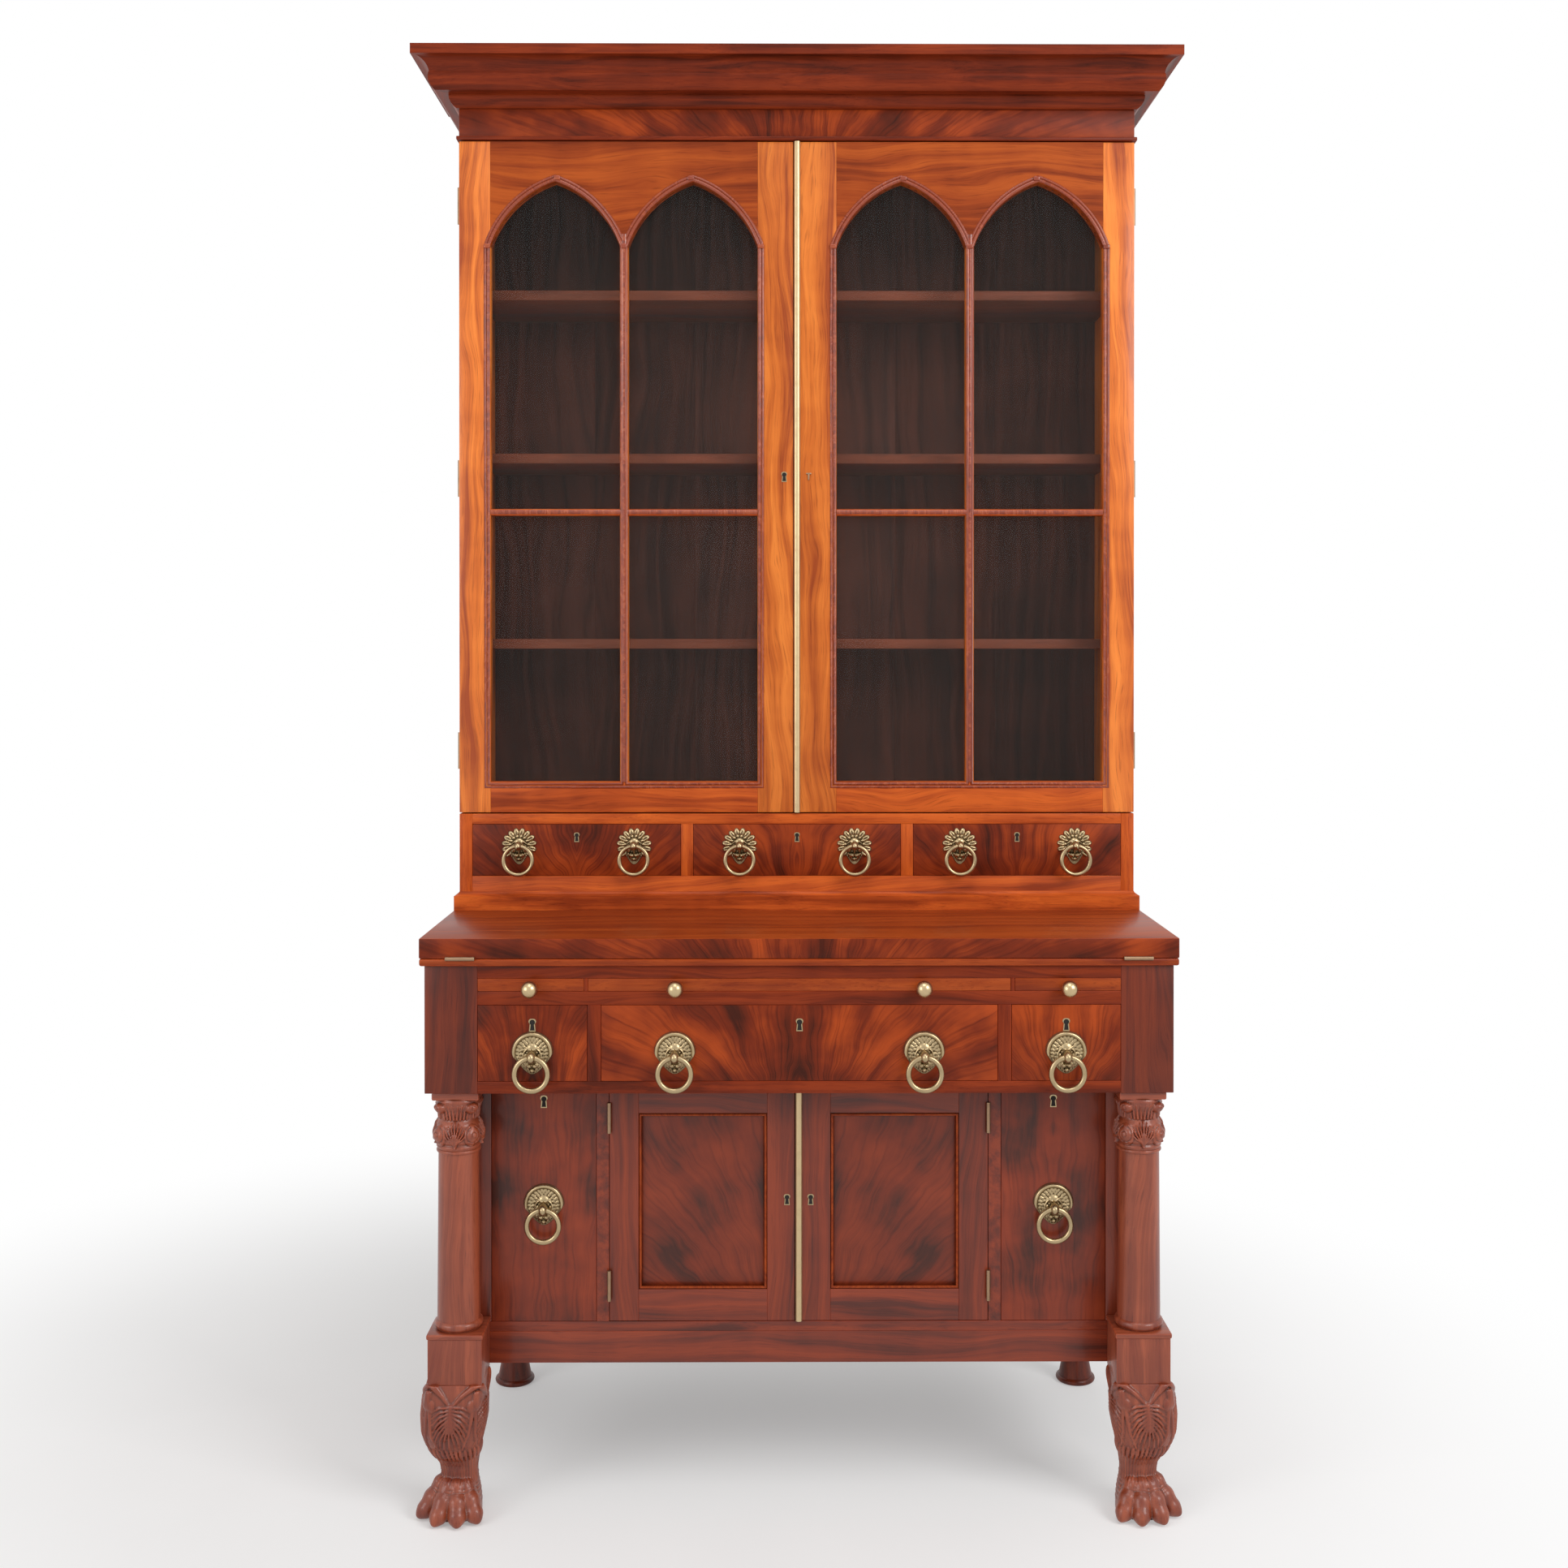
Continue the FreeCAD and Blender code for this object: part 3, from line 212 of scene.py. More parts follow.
class Shader(Tree):
    """A material's node tree, with the textures that the finishes share."""

    def __init__(self, name):
        self.material = bpy.data.materials.new(name)
        self.material.use_nodes = True
        super().__init__(self.material.node_tree)
        self.surface = self.add("ShaderNodeBsdfPrincipled")
        self.output = self.add("ShaderNodeOutputMaterial", inputs={0: self.surface.outputs[0]})

    def send(self, node):
        """Send a node's shader out in place of the plain surface."""
        self.feed(self.output.inputs[0], node.outputs[0])

    def attribute(self, name, output="Vector"):
        return self.add("ShaderNodeAttribute", {"attribute_name": name}).outputs[output]

    def place(self):
        return self.add("ShaderNodeTexCoord").outputs["Object"]

    def math(self, operation, a, b=0.0, c=0.0, clamp=False):
        return self.add("ShaderNodeMath", {"operation": operation, "use_clamp": clamp},
                        {0: a, 1: b, 2: c}).outputs[0]

    def vector(self, operation, a, b):
        return self.add("ShaderNodeVectorMath", {"operation": operation}, {0: a, 1: b}).outputs["Vector"]

    def combine(self, x, y, z):
        return self.add("ShaderNodeCombineXYZ", inputs={0: x, 1: y, 2: z}).outputs[0]

    def separate(self, vector):
        return self.add("ShaderNodeSeparateXYZ", inputs={0: vector}).outputs

    def noise(self, vector, scale, detail, roughness=0.5):
        """Noise over a place that is first stretched."""
        stretched = self.vector("MULTIPLY", vector, scale)
        return self.add("ShaderNodeTexNoise", inputs={"Vector": stretched, "Scale": 1.0, "Detail": detail,
                                                      "Roughness": roughness}).outputs[0]

    def blend(self, parts):
        """Sum of values, each with its weight."""
        total = 0.0
        for value, weight in parts:
            total = self.math("ADD", self.math("MULTIPLY", value, weight), total)
        return total

    def ramp(self, factor, stops):
        """Colour for a value, between stops of place and colour."""
        node = self.add("ShaderNodeValToRGB", inputs={0: factor})
        elements = node.color_ramp.elements
        while len(elements) < len(stops):
            elements.new(1.0)
        for element, (position, tint) in zip(elements, stops):
            element.position = position
            element.color = (*tint, 1.0)
        return node.outputs[0]

    def mix(self, factor, a, b, kind="MIX"):
        """Mix of two colours."""
        node = self.add("ShaderNodeMix", {"data_type": "RGBA", "blend_type": kind})
        for number, value in ((0, factor), (6, a), (7, b)):
            self.feed(node.inputs[number], (*value, 1.0) if isinstance(value, tuple) else value)
        return node.outputs[2]

    def bump(self, height, strength, distance):
        node = self.add("ShaderNodeBump", inputs={"Strength": strength, "Distance": distance,
                                                  "Height": height})
        self.feed(self.surface.inputs["Normal"], node.outputs[0])

    def set(self, **inputs):
        """Values or links for the surface, by input name with underscores for spaces."""
        for name, value in inputs.items():
            socket = self.surface.inputs[name.replace("_", " ")]
            self.feed(socket, (*value, 1.0) if isinstance(value, tuple) and len(value) == 3 else value)


# Finishes

def tint(name, factor=1.0):
    """A colour of the settings, made lighter or darker."""
    return tuple(min(1.0, channel * factor) for channel in getattr(finishes(), name))


def tones(wood_name, factor=1.0):
    """Deep, middle and pale colour of a wood."""
    return [tint(f"{wood_name}_{depth}", factor) for depth in ("deep", "mid", "pale")]


def polished(shader, base, grain_value, height, roughness, gloss):
    """Last steps that all woods share: worn edges, dirty hollows, gloss and pores."""
    unevenness = 0.22
    worn = shader.attribute("worn", "Fac")
    hollow = shader.attribute("hollow", "Fac")
    base = shader.mix(shader.math("MULTIPLY", worn, 0.40), base, (1.0, 0.72, 0.50), "SOFT_LIGHT")
    dirt = shader.math("MULTIPLY", hollow, 0.92, clamp=True)
    base = shader.mix(dirt, base, (0.10, 0.07, 0.06), "MULTIPLY")
    uneven = shader.math("MULTIPLY_ADD", grain_value, unevenness, roughness - unevenness / 2)
    shader.bump(height, 0.10, 0.4 * MM)
    shader.set(Base_Color=base, Roughness=uneven, Specular_IOR_Level=0.12 + 0.38 * gloss,
               Coat_Weight=finishes().polish * gloss, Coat_Roughness=0.12)
    return shader.material


def wood(name, deep, mid, pale, gloss, roughness=None):
    """Straight wood: streaks that wander along the grain, a soft figure across it and fine pores."""
    shader = Shader(name)
    grain = shader.attribute("grain")
    wander = shader.noise(grain, (2.8, 9.0, 9.0), 2.0)
    offset = shader.combine(0.0, shader.math("MULTIPLY", wander, 0.085), 0.0)
    bent = shader.vector("ADD", grain, offset)
    streak = shader.noise(bent, (1.7, 66.0, 66.0), 7.0, 0.62)
    broad = shader.noise(bent, (0.9, 9.0, 9.0), 3.0)
    glow = shader.noise(grain, (13.0, 7.0, 7.0), 2.0)
    fibre = shader.noise(bent, (24.0, 700.0, 700.0), 2.0)
    value = shader.blend([(streak, 0.60), (broad, 0.24), (glow, 0.16)])
    base = shader.ramp(value, [(0.395, deep), (0.49, mid), (0.585, pale)])
    pores = shader.ramp(fibre, [(0.30, (0.60, 0.52, 0.48)), (0.43, (1.0, 1.0, 1.0))])
    base = shader.mix(0.7, base, pores, "MULTIPLY")
    height = shader.blend([(fibre, 0.6), (streak, 0.4)])
    return polished(shader, base, streak, height, roughness or finishes().wood_roughness, gloss)


def flame(name, deep, mid, pale, rise, spread, gloss, drift_share=0.10):
    """Crotch veneer: tongues that fan out from a point under the middle of the leaf, with dark clouds."""
    shader = Shader(name)
    figure = shader.attribute("figure")
    across, along, seed = shader.separate(figure)
    matched = shader.math("ABSOLUTE", across)
    drift = shader.noise(shader.combine(matched, along, seed), (6.0, 6.0, 1.0), 3.0)
    bent = shader.blend([(matched, 1.0), (drift, drift_share)])
    bent = shader.math("SUBTRACT", bent, 0.5 * drift_share)
    lifted = shader.math("ADD", along, rise)
    angle = shader.math("ARCTAN2", bent, lifted)
    reach = shader.math("SQRT", shader.blend([(shader.math("MULTIPLY", bent, bent), 1.0),
                                              (shader.math("MULTIPLY", lifted, lifted), 1.0)]))
    fan = shader.combine(shader.math("MULTIPLY", angle, spread), shader.math("MULTIPLY", reach, 5.0), seed)
    tongues = shader.noise(fan, (1.0, 1.0, 1.0), 6.0, 0.58)
    hairs = shader.noise(fan, (9.0, 1.6, 1.0), 3.0)
    clouds = shader.noise(figure, (9.0, 11.0, 1.0), 3.0)
    value = shader.blend([(tongues, 0.44), (clouds, 0.46), (hairs, 0.10)])
    base = shader.ramp(value, [(0.37, deep), (0.49, mid), (0.62, pale)])
    pores = shader.ramp(hairs, [(0.34, (0.62, 0.55, 0.50)), (0.48, (1.0, 1.0, 1.0))])
    base = shader.mix(0.55, base, pores, "MULTIPLY")
    return polished(shader, base, tongues, hairs, finishes().wood_roughness, gloss)


def brass(name, bright, tarnish, roughness):
    """Handled brass, dark in its hollows and cloudy where it has dulled."""
    shader = Shader(name)
    place = shader.place()
    clouds = shader.noise(place, (70.0, 70.0, 70.0), 4.0, 0.6)
    scuffs = shader.noise(place, (1400.0, 1400.0, 1400.0), 2.0)
    hollow = shader.attribute("hollow", "Fac")
    dirt = shader.blend([(hollow, 1.1), (clouds, 0.9)])
    dirt = shader.math("SUBTRACT", dirt, 0.45, clamp=True)
    shader.bump(scuffs, 0.12, 0.1 * MM)
    uneven = shader.math("MULTIPLY_ADD", dirt, 0.35, roughness)
    shader.set(Base_Color=shader.mix(dirt, bright, tarnish), Metallic=1.0, Roughness=uneven)
    return shader.material


def window_glass(name):
    """Old drawn glass under a thin diffuse film, partly dirt and partly a painted reflection of the bright
    surroundings that the low IOR leaves out; lamp light passes straight through it.
    """
    film_share = 0.008
    shader = Shader(name)
    wave = shader.noise(shader.place(), (7.0, 7.0, 4.0), 1.0)
    base = shader.ramp(wave, [(0.3, (0.90, 0.93, 0.91)), (0.7, (0.95, 0.96, 0.94))])
    shader.set(Base_Color=base, Roughness=0.0, IOR=1.10, Transmission_Weight=1.0)
    # The diffuse film is real dirt and also a painted reflection of the white surroundings.
    dust_and_reflection = shader.add("ShaderNodeBsdfDiffuse", inputs={"Color": (0.86, 0.84, 0.80, 1.0)})
    film = shader.mix_shaders(film_share, shader.surface, dust_and_reflection)
    clear = shader.add("ShaderNodeBsdfTransparent")
    path = shader.add("ShaderNodeLightPath").outputs
    soft = shader.math("ADD", path["Is Shadow Ray"], path["Is Diffuse Ray"], clamp=True)
    shader.send(shader.mix_shaders(soft, film, clear))
    return shader.material


def lock_shadow(name):
    """Dark inside of a keyhole: painted shade on a flat face where the hole would be."""
    shader = Shader(name)
    # Painted shade: a slight mottle over the flat dark face that stands in for the shadowed hole.
    painted_shade_mottle = shader.noise(shader.place(), (900.0, 900.0, 900.0), 2.0)
    shader.set(Base_Color=shader.ramp(painted_shade_mottle, [(0.3, (0.004, 0.003, 0.002)), (0.7, (0.016, 0.010, 0.007))]),
               Roughness=0.85)
    return shader.material


FINISH = {}


def make_finishes():
    """Make each finish once."""
    clouds, tarnish = tint("flame_deep"), tint("brass_tarnish")
    FINISH.update(
        golden=wood("golden_mahogany", *tones("golden"), 0.25),
        # amber: the golden mahogany darker and redder, painting the cornice's shade on the rails; sill:
        # that amber half as light again, still darker than golden by painted shade.
        amber=wood("amber_mahogany", *tones("amber"), 0.10),
        sill=wood("sill_mahogany", *tones("amber", 1.5), 0.10),
        # A lighter, glossier copy of the golden mahogany for the hanging stiles: a painted sheen of the
        # side light on them.
        faded=wood("faded_mahogany", *tones("golden", 1.18), 0.55),
        red=wood("red_mahogany", *tones("red"), 0.05),
        low=wood("lower_mahogany", *tones("red"), 0.75),
        post=wood("post_mahogany", tint("red_deep", 0.7), tint("red_mid", 0.66), tint("red_pale", 0.72),
                  0.45),
        desk=wood("desk_mahogany", tint("red_mid"), tint("desk_mid"), tint("desk_pale"), 0.10),
        reed=wood("reed_mahogany", tint("red_mid"), tint("red_pale", 1.1), tint("desk_pale"), 1.0, 0.26),
        carved=wood("carved_mahogany", tint("red_mid"), tint("carved_mid"), tint("carved_pale"), 1.0,
                    0.44),
        inner=wood("inner_wood", tint("inner_deep"), tint("inner_pale", 0.7), tint("inner_pale"), 0.0,
                   0.62),
        shelf=wood("shelf_wood", tint("shelf_pale", 0.5), tint("shelf_pale", 0.8), tint("shelf_pale"), 0.0,
                   0.55),
        lining=wood("drawer_lining", tint("lining_pale", 0.5), tint("lining_pale", 0.8),
                    tint("lining_pale"), 0.0, 0.66),
        flame=flame("flame_veneer", clouds, tint("red_mid"), tint("flame_pale"), 0.15, 7.0, 0.05),
        # feather: the red tones raised a little, which paints the sheen on the bottle-drawer fronts.
        feather=flame("feather_veneer", clouds, tint("red_mid", 1.1), tint("red_pale", 1.15), 1.1, 26.0,
                      0.60, 0.05),
        panel=flame("panel_veneer", clouds, tint("red_mid", 0.95), tint("red_pale"), 0.16, 8.0, 0.60),
        brass=brass("aged_brass", tint("brass_bright"), tarnish, 0.30),
        strip=brass("strip_brass", tint("brass_bright", 1.36), tint("brass_bright", 0.7), 0.40),
        hinge=brass("dull_brass", tint("hinge_brown"), tarnish, 0.45),
        knob=brass("handled_brass", tint("brass_bright", 1.3), tarnish, 0.28),
        glass=window_glass("window_glass"),
        dark=lock_shadow("keyhole_dark"),
    )


# Meshes in the making

class Piece:
    """Points, faces and surface marks of one piece in the making."""

    def __init__(self, *finish_names):
        self.finish_names = finish_names
        self.points = []
        self.faces = []
        self.face_finish = []
        self.marks = {"grain": [], "figure": [], "worn": [], "hollow": []}

    def add(self, points, faces, finish=0, **marks):
        """Append a part with its marks; one finish number, or one for each face."""
        start = len(self.points)
        self.points.extend(tuple(point) for point in points)
        self.faces.extend([start + corner for corner in face] for face in faces)
        self.face_finish.extend(finish if isinstance(finish, list) else [finish] * len(faces))
        for name, values in self.marks.items():
            blank = (0.0, 0.0, 0.0) if name in ("grain", "figure") else 0.0
            given = marks.get(name)
            values.extend(given if given is not None else [blank] * len(points))

    def mesh(self, name, crease):
        """The finished mesh, smooth apart from its creases."""
        mesh = bpy.data.meshes.new(name)
        mesh.from_pydata(self.points, [], self.faces)
        for finish_name in self.finish_names:
            mesh.materials.append(FINISH[finish_name])
        mesh.polygons.foreach_set("material_index", self.face_finish)
        for mark, values in self.marks.items():
            if mark in ("grain", "figure"):
                layer = mesh.attributes.new(mark, "FLOAT_VECTOR", "POINT")
                layer.data.foreach_set("vector", [number for value in values for number in value])
            else:
                layer = mesh.attributes.new(mark, "FLOAT", "POINT")
                layer.data.foreach_set("value", values)
        mesh.shade_smooth()
        mesh.set_sharp_from_angle(angle=math.radians(crease))
        mesh.update()
        return mesh

    def finish(self, name, body, slot, node, crease=35.0):
        """Make the piece an object that rides on a body and stands for a CAD node."""
        piece = link(name, self.mesh(name, crease))
        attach(piece, body)
        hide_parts(node)


def node_solids(node):
    """Closed solids of a CAD node, each a list of triangles: a solid ends where its surface closes."""
    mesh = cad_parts[node].data
    solids = []
    current = []
    open_edges = set()
    for polygon in mesh.polygons:
        corners = [tuple(round(c, 6) for c in mesh.vertices[index].co) for index in polygon.vertices]
        current.append(corners)
        for edge in zip(corners, corners[1:] + corners[:1]):
            if edge[::-1] in open_edges:
                open_edges.remove(edge[::-1])
            else:
                open_edges.add(edge)
        if not open_edges:
            solids.append(current)
            current = []
    return solids


def solid_box(triangles):
    """Lowest and highest corner of a solid."""
    corners = [corner for triangle in triangles for corner in triangle]
    return Vector(map(min, zip(*corners))), Vector(map(max, zip(*corners)))


def grain_order(size, along=None):
    """Axes of a board: along the grain, across it, and through it."""
    order = sorted(range(3), key=lambda axis: -size[axis])
    if along is not None:
        order.remove(along)
        order.insert(0, along)
    return order


def grain_marks(points, lo, hi, seed, along=None):
    """Grain and figure of a board, with an offset of its own."""
    draw = random.Random(seed)
    order = grain_order(hi - lo, along)
    shift = [draw.uniform(0.0, 30.0) for _ in range(3)]
    leaf = draw.uniform(0.0, 60.0)
    lean = draw.uniform(-0.07, 0.07)
    middle = (lo + hi) / 2
    grain = []
    figure = []
    for point in points:
        local = Vector(point) - middle
        along_grain, across, through = (local[axis] for axis in order)
        grain.append((along_grain + shift[0], across + lean * along_grain + shift[1], through + shift[2]))
        figure.append((local.x, local.z, leaf))
    return {"grain": grain, "figure": figure}


def add_board(piece, lo, hi, seed, finish=0, along=None, rounding=None, front=None):
    """Board with rounded edges; its front face may have a finish of its own."""
    size = hi - lo
    radius = min(rounding or sizes().edge_rounding, 0.3 * min(size))
    shape = bmesh.new()
    bmesh.ops.create_cube(shape, size=1.0)
    for vert in shape.verts:
        vert.co = Vector(lo[axis] + (vert.co[axis] + 0.5) * size[axis] for axis in range(3))
    bmesh.ops.bevel(shape, geom=shape.edges[:], offset=radius, segments=2, profile=0.5, affect="EDGES")
    shape.verts.index_update()
    points = [vert.co.copy() for vert in shape.verts]
    faces = [[vert.index for vert in face.verts] for face in shape.faces]
    finish_list = [finish] * len(faces)
    if front is not None:
        finish_list = [front if face.normal.y < -0.5 else finish for face in shape.faces]
    worn = []
    for point in points:
        flat = any(abs(point[axis] - edge[axis]) < 1e-6 for axis in range(3) for edge in (lo, hi))
        worn.append(0.0 if flat else 1.0)
    shape.free()
    piece.add(points, faces, finish_list, worn=worn, **grain_marks(points, lo, hi, seed, along))


def add_solid(piece, triangles, seed, finish=0, along=None, keep=None):
    """Merged copy of a shaped solid, or of those of its triangles that are kept."""
    lo, hi = solid_box(triangles)
    index = {}
    faces = []
    for triangle in triangles:
        if keep is None or keep(triangle):
            face = [index.setdefault(corner, len(index)) for corner in triangle]
            if len(set(face)) == 3:
                faces.append(face)
    points = list(index)
    piece.add(points, faces, finish, **grain_marks(points, lo, hi, seed, along))


def mirror_figure(piece, start, sill):
    """Match the figure of the points from a start on about the bookcase's middle, like opened leaves."""
    leaf = 17.0
    for number in range(start, len(piece.points)):
        x, _, z = piece.points[number]
        piece.marks["figure"][number] = (abs(x), z - sill, leaf)


def is_board(triangles):
    """Whether a solid is a plain board, with eight corners."""
    return len({corner for triangle in triangles for corner in triangle}) == 8


# Case joinery

CASE_NODES = {
    # node: finish of the board, finish of its front edge, material slot
    "lower_sides": ("low", "low", "red_mahogany"),
    "lower_boards": ("inner", "low", "inner_wood"),
    "back_boards": ("inner", "inner", "inner_wood"),
    "upper_sides": ("golden", "golden", "golden_mahogany"),
    "upper_boards": ("inner", "inner", "inner_wood"),
    "upper_face_frame": ("amber", "sill", "golden_mahogany"),
    "bookshelves": ("shelf", "shelf", "inner_wood"),
}


class BOOKCASE_OT_case(bpy.types.Operator):
    """Boards of both cases, each with its own length of wood"""
    bl_idname = "bookcase.case"
    bl_label = "Case Boards"

    def execute(self, context):
        for node, (finish, front, slot) in CASE_NODES.items():
            piece = Piece(finish, front)
            for number, triangles in enumerate(node_solids(node)):
                add_board(piece, *solid_box(triangles), f"{node}{number}", front=1)
            piece.finish(f"{node}_joined", "carcase", slot, node)
        self.face_frame()
        self.plinths()
        self.frieze()
        return {"FINISHED"}

    def face_frame(self):
        """Rails and posts of the lower case; those round the frieze drawers have finishes of their own."""
        piece = Piece("low", "red", "post")
        case_finish, rail_finish, post_finish = range(3)
        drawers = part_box("centre_frieze_drawer")[0][1]
        for number, triangles in enumerate(node_solids("lower_face_frame")):
            lo, hi = solid_box(triangles)
            post = hi.z - lo.z > hi.x - lo.x > 50.0 * MM
            finish = case_finish
            if lo.y < drawers + 1.0 * MM:
                finish = post_finish if post else rail_finish
            add_board(piece, lo, hi, f"face_frame{number}", finish)
        piece.finish("lower_face_frame_joined", "carcase", "red_mahogany", "lower_face_frame")

    def plinths(self):
        """Blocks under the columns, each with a wider cap."""
        cap_height = 8.0 * MM
        overhang = 2.0 * MM
        piece = Piece("carved")
        for number, triangles in enumerate(node_solids("plinths")):
            lo, hi = solid_box(triangles)
            block_lo = Vector((lo.x + overhang, lo.y + overhang, lo.z))
            block_hi = Vector((hi.x - overhang, hi.y, hi.z - cap_height))
            add_board(piece, block_lo, block_hi, f"plinth{number}", along=2)
            add_board(piece, Vector((lo.x, lo.y, hi.z - cap_height)), hi, f"cap{number}", rounding=3.0 * MM)
        piece.finish("plinth_blocks", "carcase", "red_mahogany", "plinths")

    def frieze(self):
        """Veneered frieze with its lip."""
        piece = Piece("red", "flame")
        for number, triangles in enumerate(node_solids("frieze_board")):
            lo, hi = solid_box(triangles)
            add_board(piece, lo, hi, f"frieze{number}", rounding=2.0 * MM if number else None,
                      front=None if number else 1)
        piece.finish("frieze_veneer", "carcase", "red_mahogany", "frieze_board")


MOULDINGS = {
    # node: finish, material slot
    "cornice": ("red", "red_mahogany"),
    "base_moulding": ("sill", "golden_mahogany"),
}


class BOOKCASE_OT_mouldings(bpy.types.Operator):
    """Cornice and base moulding, each run with the grain along it"""
    bl_idname = "bookcase.mouldings"
    bl_label = "Mouldings"

    def execute(self, context):
        half_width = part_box("upper_sides")[1][0]
        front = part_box("upper_face_frame")[0][1]

        def run(triangle):
            """The run that a triangle is part of: the front, or the return on one side."""
            middle = sum((Vector(corner) for corner in triangle), Vector()) / 3
            if front - middle.y >= abs(middle.x) - half_width:
                return 0
            return math.copysign(1, middle.x)

        for node, (finish, slot) in MOULDINGS.items():
            piece = Piece(finish)
            triangles = node_solids(node)[0]
            for which, along in ((0, 0), (-1, 1), (1, 1)):
                add_solid(piece, triangles, f"{node}{which}", along=along, keep=lambda t: run(t) == which)
            piece.finish(f"{node}_runs", "carcase", slot, node, crease=28.0)
        return {"FINISHED"}


# Desk leaves and slides

class BOOKCASE_OT_desk(bpy.types.Operator):
    """Desk bed, folding flap and the slides under them"""
    bl_idname = "bookcase.desk"
    bl_label = "Desk and Slides"

    def execute(self, context):
        size = sizes()
        leaves = {"desk_bed": ("carcase", size.desk_rounding, None),
                  "writing_flap": ("writing_flap", size.flap_rounding, 1)}
        for node, (body, rounding, front) in leaves.items():
            self.board(Piece("desk", "flame"), node, body, "leaf", rounding, front)
        for node in ("left_loper", "centre_slide", "right_loper"):
            self.board(Piece("desk"), node, node, "board")
        return {"FINISHED"}

    def board(self, piece, node, body, word, rounding=None, front=None):
        """One board with its grain from side to side; its front edge may have a veneer."""
        lo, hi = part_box(node)
        add_board(piece, Vector(lo), Vector(hi), node, along=0, rounding=rounding, front=front)
        piece.finish(f"{node}_{word}", body, "red_mahogany", node)


# Drawers and doors

class BOOKCASE_OT_drawers(bpy.types.Operator):
    """Drawers: veneered face, lined box"""
    bl_idname = "bookcase.drawers"
    bl_label = "Drawers"

    def execute(self, context):
        for drawer in DRAWERS:
            low = drawer in BOTTLE_DRAWERS
            lining_finish, veneer_finish = 1, 2
            # Bottle drawers take the feather veneer, whose raised red tones paint a sheen on their fronts.
            piece = Piece("low" if low else "red", "lining", "feather" if low else "flame")
            for number, triangles in enumerate(node_solids(drawer)):
                lo, hi = solid_box(triangles)
                if number:
                    add_board(piece, lo, hi, f"{drawer}{number}", lining_finish)
                else:
                    add_board(piece, lo, hi, drawer, front=veneer_finish)
            piece.finish(f"{drawer}_box", drawer, "red_mahogany", drawer)
        return {"FINISHED"}


class BOOKCASE_OT_doors(bpy.types.Operator):
    """Frames of the glazed doors and of the cupboard doors"""
    bl_idname = "bookcase.doors"
    bl_label = "Doors"

    def execute(self, context):
        for word in SIDES:
            self.glazed(f"{word}_upper_door")
            self.panelled(f"{word}_lower_door")
        return {"FINISHED"}

    def glazed(self, node):
        """Stiles, rails and bars of a glazed door."""
        piece = Piece("golden", "faded", "sill", "amber")
        meeting_finish, hanging_finish, level_finish, arch_finish = range(4)
        hanging_stile = 1
        for number, triangles in enumerate(node_solids(node)):
            seed = f"{node}{number}"
            lo, hi = solid_box(triangles)
            upright = hi.z - lo.z > hi.x - lo.x
            # Arched top rails take the amber and level boards the sill, both darkened by painted shade.
            if not is_board(triangles):
                add_solid(piece, triangles, seed, arch_finish, along=0)
            elif upright:
                # The hanging stile takes the lighter copy of the golden mahogany, which paints the sheen of
                # the side light.
                finish = hanging_finish if number == hanging_stile else meeting_finish
                add_board(piece, lo, hi, seed, finish)
            else:
                add_board(piece, lo, hi, seed, level_finish)
        piece.finish(f"{node}_frame", node, "golden_mahogany", node)

    def panelled(self, node):
        """Frame of a cupboard door round a veneered panel."""
        piece = Piece("low", "panel")
        *frame_boards, panel = node_solids(node)
        for number, triangles in enumerate(frame_boards):
            add_board(piece, *solid_box(triangles), f"{node}{number}")
        start = len(piece.points)
        lo, hi = solid_box(panel)
        add_board(piece, lo, hi, f"{node}_panel", front=1)
        mirror_figure(piece, start, lo.z)
        piece.finish(f"{node}_frame", node, "red_mahogany", node)


# Node groups that repeat a shape

class Growth(Tree):
    """A Geometry Nodes tree whose inputs have names."""

    def __init__(self, name, **inputs):
        tree = bpy.data.node_groups.new(name, "GeometryNodeTree")
        super().__init__(tree)
        tree.is_modifier = True
        tree.interface.new_socket("Geometry", in_out="INPUT", socket_type="NodeSocketGeometry")
        tree.interface.new_socket("Geometry", in_out="OUTPUT", socket_type="NodeSocketGeometry")
        self.identifiers = {}
        for label, kind in inputs.items():
            socket = tree.interface.new_socket(label, in_out="INPUT", socket_type=f"NodeSocket{kind}")
            self.identifiers[label] = socket.identifier
        self.given = self.add("NodeGroupInput").outputs

    def store(self, geometry, name, value, kind="FLOAT_VECTOR"):
        """Geometry with a value kept on each of its points."""
        return self.add("GeometryNodeStoreNamedAttribute", {"data_type": kind, "domain": "POINT"},
                        {0: geometry, "Name": name, "Value": value}).outputs[0]

    def stored(self, name, kind="FLOAT_VECTOR"):
        """A value that was kept on the points."""
        return self.add("GeometryNodeInputNamedAttribute", {"data_type": kind}, {"Name": name}).outputs[0]

    def draw(self, low, high):
        """Random number between two limits, from the tree's seed."""
        return self.add("FunctionNodeRandomValue", {"data_type": "FLOAT"},
                        {2: low, 3: high, "Seed": self.given["Seed"]}).outputs[1]

    def end(self, geometry):
        """Realize, set the material and send the geometry out."""
        real = self.add("GeometryNodeRealizeInstances", inputs={0: geometry}).outputs[0]
        dressed = self.add("GeometryNodeSetMaterial", inputs={0: real, "Material": self.given["Finish"]})
        self.add("NodeGroupOutput", inputs={0: dressed.outputs[0]})

    def grow(self, mesh, **values):
        """Plain mesh that the tree makes of a mesh."""
        holder = link("growing", mesh)
        modifier = holder.modifiers.new("growth", "NODES")
        modifier.node_group = self.tree
        for label, value in values.items():
            modifier[self.identifiers[label]] = value
        return made_mesh(holder)


